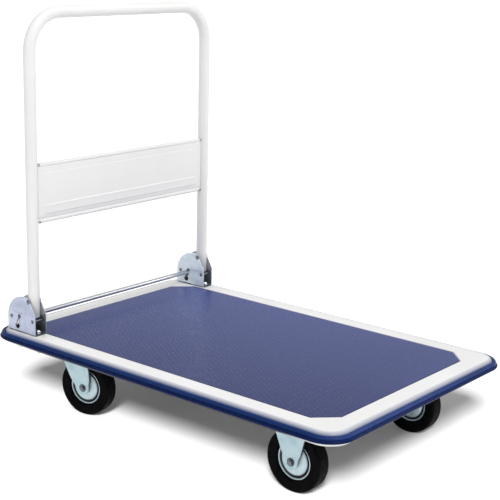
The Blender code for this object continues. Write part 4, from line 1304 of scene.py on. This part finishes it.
def plate_piece(name, body, node, place, bore):
    """Mounting plate with round corners and four slotted bolt holes."""
    out = rounded(0.0499, 0.0419, 0.0070, 8)
    holes = []
    for sx in (1, -1):
        for sy in (1, -1):
            cx_, cy_ = sx * 0.0385, sy * 0.0305
            slot_pts = []
            slot_pts += arc(cx_ + 0.0025, cy_, 0.0044, -math.pi / 2,
                            math.pi / 2, 10)
            slot_pts += arc(cx_ - 0.0025, cy_, 0.0044, math.pi / 2,
                            3 * math.pi / 2, 10)
            holes.append(slot_pts)
    if bore:
        holes.append(circle(0.0, 0.0, bore, 28))
    part = extruded(out, PLATE_TOP - PLATE_THICK + 0.0001, PLATE_TOP, holes)
    return make(name, part, PALE, body, [node] if node else (),
                origin=place, smooth=35, bevel=0.0004)


def plate_bolts(tag, place):
    """Four bolts that hold a caster plate to its cross member."""
    parts = []
    for sx in (1, -1):
        for sy in (1, -1):
            if sy > 0 or True:
                cx_, cy_ = sx * 0.0385, sy * 0.0305
            head = moved(hex_head(0.0068, -0.0022, 0.0022),
                         Matrix.Rotation(math.pi / 2, 4, "X"))
            parts.append(shift(head, cx_, cy_, 0.1552 - 0.0034))
            washer = upright(revolve([
                (0.0, 0.15525), (0.0074, 0.15525), (0.0076, 0.1550),
                (0.0076, 0.1542), (0.0073, 0.1540), (0.0, 0.1540)], 28))
            parts.append(shift(washer, cx_, cy_, 0.0))
    make("plate_bolts_" + tag, join(*parts), CHROME, "deck", (),
         origin=place, smooth=30)


def wheel_pieces(tag, place, body):
    """Tyre and pressed rim, turned about local Y at the wheel's middle."""
    tyre_profile = [
        (0.0389, 0.0104), (0.0389, 0.0118), (0.0396, 0.0136),
        (0.0412, 0.0146), (0.0436, 0.0152), (0.0470, 0.0156),
        (0.0490, 0.0158), (0.0500, 0.0156), (0.0508, 0.0158),
        (0.0560, 0.0160), (0.0590, 0.0158), (0.0604, 0.0153),
        (0.0614, 0.0144), (0.0620, 0.0131), (0.0623, 0.0114),
        (0.06245, 0.0090), (0.06248, 0.0030)]
    profile = tyre_profile + [(r, -h) for r, h in reversed(tyre_profile)]
    make("tyre_round_" + tag, revolve(profile, 96, closed=True), RUBBER, body,
         ["tyre_" + tag], origin=place, smooth=50)
    rim_profile = [
        (0.0056, 0.0176), (0.0062, 0.0180), (0.0090, 0.0180),
        (0.0096, 0.0177), (0.0100, 0.0168), (0.0106, 0.0156),
        (0.0120, 0.0150), (0.0180, 0.0140), (0.0245, 0.0129),
        (0.0268, 0.0124), (0.0290, 0.0112), (0.0305, 0.0096),
        (0.0312, 0.0078), (0.0317, 0.0064), (0.0326, 0.0059),
        (0.0338, 0.0060), (0.0346, 0.0067), (0.0350, 0.0086),
        (0.0353, 0.0104), (0.0358, 0.0111), (0.0368, 0.0114),
        (0.0377, 0.0112), (0.0380, 0.0104)]
    profile = rim_profile + [(r, -h) for r, h in reversed(rim_profile)]
    make("rim_pressed_" + tag, revolve(profile, 80, closed=True), RIM_ZINC,
         body, ["rim_" + tag], origin=place, smooth=40)


def axle_pieces(tag, place, body, outer):
    """Hexagon bolt with its head outside, nut on the inner end."""
    turn = Matrix.Identity(4) if outer > 0 else Matrix.Rotation(math.pi, 4,
                                                                "Z")
    reach = LEG_OUT + 0.0002
    head = join(hex_head(0.0060 if tag.startswith("front") else 0.0050, reach + 0.0004, reach + 0.0048),
                revolve([(0.0, reach), (0.0066, reach), (0.0068, reach +
                                                         0.0002),
                         (0.0066, reach + 0.0006), (0.0, reach + 0.0006)],
                        36),
                revolve([(0.0, reach + 0.0052), (0.0018, reach + 0.0051),
                         (0.0031, reach + 0.0048), (0.0033, reach + 0.0040)],
                        28),
                revolve([(0.0, reach + 0.0005), (0.0049, reach + 0.0005),
                         (0.0049, -reach - 0.0090), (0.0044, -reach - 0.0095),
                         (0.0, -reach - 0.0095)], 28))
    make("axle_screw_" + tag, head, STEEL, body, ["axle_bolt_" + tag],
         origin=place @ turn, smooth=30)
    nut = moved(hex_head(0.0092, 0.0, 0.0068, bore=0.0054),
                Matrix.Translation((0, -reach, 0)) @ Matrix.Rotation(
                    math.pi, 4, "X"))
    make("axle_lock_" + tag, nut, STEEL, body, ["axle_nut_" + tag],
         origin=place @ turn, smooth=30)


def caster_place(x, y, turn=0.0):
    return Matrix.Translation((x, y, 0.0)) @ Matrix.Rotation(turn, 4, "Z")


for name, side in (("left", 1), ("right", -1)):
    # fixed caster at the front
    w = middle("tyre_front_" + name)
    place = caster_place(w.x, w.y)
    bent_fork("front_fork_" + name,
              [(-0.0480, 0.1560), (-0.0370, 0.1150), (-0.0242, 0.0857),
               (-0.0155, 0.0640)],
              [(0.0155, 0.0640), (0.0235, 0.0936), (0.0284, 0.1130),
               (0.0400, 0.1560)], 0.0, 0.1556, 0.0060, (), place,
              "caster_fork_front_" + name, "deck", lip=0.0060)
    plate_piece("front_plate_" + name, "deck", None, place, 0.0)
    plate_bolts("front_" + name, place)
    hub = place @ Matrix.Translation((0, 0, w.z))
    axle_pieces("front_" + name, hub, "deck", side)
    wheel_pieces("front_" + name, hub, "wheel_front_" + name)

    # swivel caster at the rear
    k = middle("king_pin_rear_" + name)
    w = middle("tyre_rear_" + name)
    turn = math.atan2(w.y - k.y, w.x - k.x)
    fixed = caster_place(k.x, k.y)
    place = caster_place(k.x, k.y, turn)
    plate_piece("rear_plate_" + name, "deck", "caster_plate_rear_" + name,
                fixed, 0.0056)
    plate_bolts("rear_" + name, fixed)
    race = upright(revolve([
        (0.0056, 0.1549), (0.0200, 0.1549), (0.0262, 0.1546),
        (0.0292, 0.1536), (0.0312, 0.1522), (0.0323, 0.1504),
        (0.0322, 0.1488), (0.0312, 0.1474), (0.0302, 0.1462),
        (0.0296, 0.1450), (0.0284, 0.1441), (0.0268, 0.1439),
        (0.0056, 0.1439)], 64, closed=True))
    make("ball_race_" + name, race, RIM_ZINC, "deck",
         ["caster_race_rear_" + name], origin=fixed, smooth=40)
    king = upright(revolve([
        (0.0, 0.1628), (0.0030, 0.1627), (0.0054, 0.1621), (0.0072, 0.1611),
        (0.0082, 0.1599), (0.0085, 0.1589), (0.0049, 0.1589),
        (0.0049, 0.1403), (0.0085, 0.1403), (0.0084, 0.1386),
        (0.0078, 0.1370), (0.0066, 0.1358), (0.0048, 0.1352),
        (0.0, 0.1350)], 36))
    make("king_rivet_" + name, king, CHROME, "deck",
         ["king_pin_rear_" + name], origin=fixed, smooth=40)
    bent_fork("rear_fork_" + name,
              [(-0.0270, 0.1435), (-0.0117, 0.1128), (0.0056, 0.0786),
               (0.0215, 0.0590)],
              [(0.0520, 0.0620), (0.0518, 0.0835), (0.0494, 0.1080),
               (0.0420, 0.1300), (0.0300, 0.1435)],
              0.0365, 0.1435, 0.0060, (), place,
              "caster_fork_rear_" + name, "swivel_" + name, lip=0.0060,
              web_hole=0.0056)
    hub = place @ Matrix.Translation((math.hypot(w.x - k.x, w.y - k.y), 0,
                                      w.z))
    axle_pieces("rear_" + name, hub, "swivel_" + name, side)
    wheel_pieces("rear_" + name, hub, "wheel_rear_" + name)

# ----------------------------------------------------------------------------
# carried-over pieces under the deck
# ----------------------------------------------------------------------------
for node in ("cross_member_front", "cross_member_rear", "stiffener_left",
             "stiffener_right", "backing_channel_left",
             "backing_channel_right"):
    obj = frame["nodes"][node]
    obj.data.materials.clear()
    obj.data.materials.append(UNDERSIDE)
    mod = obj.modifiers.new("edge", "BEVEL")
    mod.width = 0.0005
    mod.segments = 2
    mod.limit_method = "ANGLE"
    mod.angle_limit = math.radians(40)

# ----------------------------------------------------------------------------
# floor, light and camera
# ----------------------------------------------------------------------------
floor_mesh = bpy.data.meshes.new("studio_floor")
bm = bmesh.new()
bmesh.ops.create_grid(bm, x_segments=48, y_segments=48, size=30.0)
for v in bm.verts:
    v.co.z = -0.0003
bm.to_mesh(floor_mesh)
bm.free()
floor = bpy.data.objects.new("studio_floor", floor_mesh)
SCENE.collection.objects.link(floor)
# the floor's own light is strong, so it shows near white
fm = Finish("floor_pale", (0.22, 0.22, 0.22), 0.9, specular=0.0)
tone = fm.blend(fm.span(fm.noise(0.6, 2.0), 0.3, 0.7), (0.217, 0.217, 0.217),
                (0.223, 0.223, 0.223))
floor_mesh.materials.append(fm.done(tone))

# white studio: bright overhead, dim towards the horizon
world = bpy.data.worlds.new("studio")
SCENE.world = world
world.use_nodes = True
wt = world.node_tree
back = next(n for n in wt.nodes if n.type == "BACKGROUND")
coords = wt.nodes.new("ShaderNodeTexCoord")
parts_w = wt.nodes.new("ShaderNodeSeparateXYZ")
wt.links.new(coords.outputs["Generated"], parts_w.inputs[0])
fade = wt.nodes.new("ShaderNodeValToRGB")
wt.links.new(parts_w.outputs[2], fade.inputs[0])
stops = [(0.0, 0.16), (0.20, 0.30), (0.45, 0.78), (1.0, 0.92)]
while len(fade.color_ramp.elements) < len(stops):
    fade.color_ramp.elements.new(0.5)
for e, (pos, v) in zip(fade.color_ramp.elements, stops):
    e.position = pos
    e.color = (v, v, v, 1.0)
wt.links.new(fade.outputs[0], back.inputs["Color"])
back.inputs["Strength"].default_value = 1.0


def sun(name, direction, strength, spread, color=(1.0, 1.0, 1.0)):
    """Soft directional studio light; direction points to the light."""
    light = bpy.data.lights.new(name, "SUN")
    light.energy = strength
    light.angle = math.radians(spread)
    light.color = color
    obj = bpy.data.objects.new(name, light)
    SCENE.collection.objects.link(obj)
    d = Vector(direction).normalized()
    obj.location = d * 6.0
    obj.rotation_euler = d.to_track_quat("Z", "Y").to_euler()
    return obj


sun("key", (1.0, -0.22, 1.10), 1.35, 30.0)
sun("front_fill", (0.50, -1.0, 0.90), 0.25, 45.0)
sun("side_fill", (0.52, 0.75, 0.42), 0.35, 14.0)
# low light on the floor alone, so that the shadow falls behind the object
only_floor = bpy.data.collections.new("floor_only")
only_floor.objects.link(floor)
low_light = sun("floor_light", (0.78, -1.13, 1.0), 20.5, 13.0)
low_light.light_linking.receiver_collection = only_floor
# even glow that keeps the shadow under the deck mid grey
glow = sun("floor_glow", (0.0, 0.0, 1.0), 1.15, 60.0)
glow.light_linking.receiver_collection = only_floor
glow.light_linking.blocker_collection = only_floor
# the handle throws no shadow on the photograph's floor
casts = bpy.data.collections.new("low_parts")
for obj in SCENE.objects:
    if obj.type == "MESH" and obj.name != floor.name and not (
            obj.name.startswith(("handle_", "panel_", "post_"))):
        casts.objects.link(obj)
low_light.light_linking.blocker_collection = casts

CAM_AT = Vector((1.58798, -1.93233, 1.00088))
YAW, PITCH, ROLL = 2.2548566, 0.2443302, 0.0241889
fw = Vector((math.cos(PITCH) * math.cos(YAW), math.cos(PITCH) * math.sin(YAW),
             -math.sin(PITCH)))
rt = Vector((math.sin(YAW), -math.cos(YAW), 0.0))
up = rt.cross(fw)
right = math.cos(ROLL) * rt + math.sin(ROLL) * up
above = -math.sin(ROLL) * rt + math.cos(ROLL) * up
cam = bpy.data.cameras.new("camera")
cam.sensor_width = 36.0
cam.lens = 1235.129 / 500.0 * 36.0
cam.clip_end = 100.0
camera = bpy.data.objects.new("camera", cam)
SCENE.collection.objects.link(camera)
camera.matrix_world = Matrix((
    (right.x, above.x, -fw.x, CAM_AT.x),
    (right.y, above.y, -fw.y, CAM_AT.y),
    (right.z, above.z, -fw.z, CAM_AT.z),
    (0.0, 0.0, 0.0, 1.0)))
SCENE.camera = camera
SCENE.view_settings.view_transform = "Standard"
SCENE.view_settings.look = "None"

bpy.context.view_layer.update()
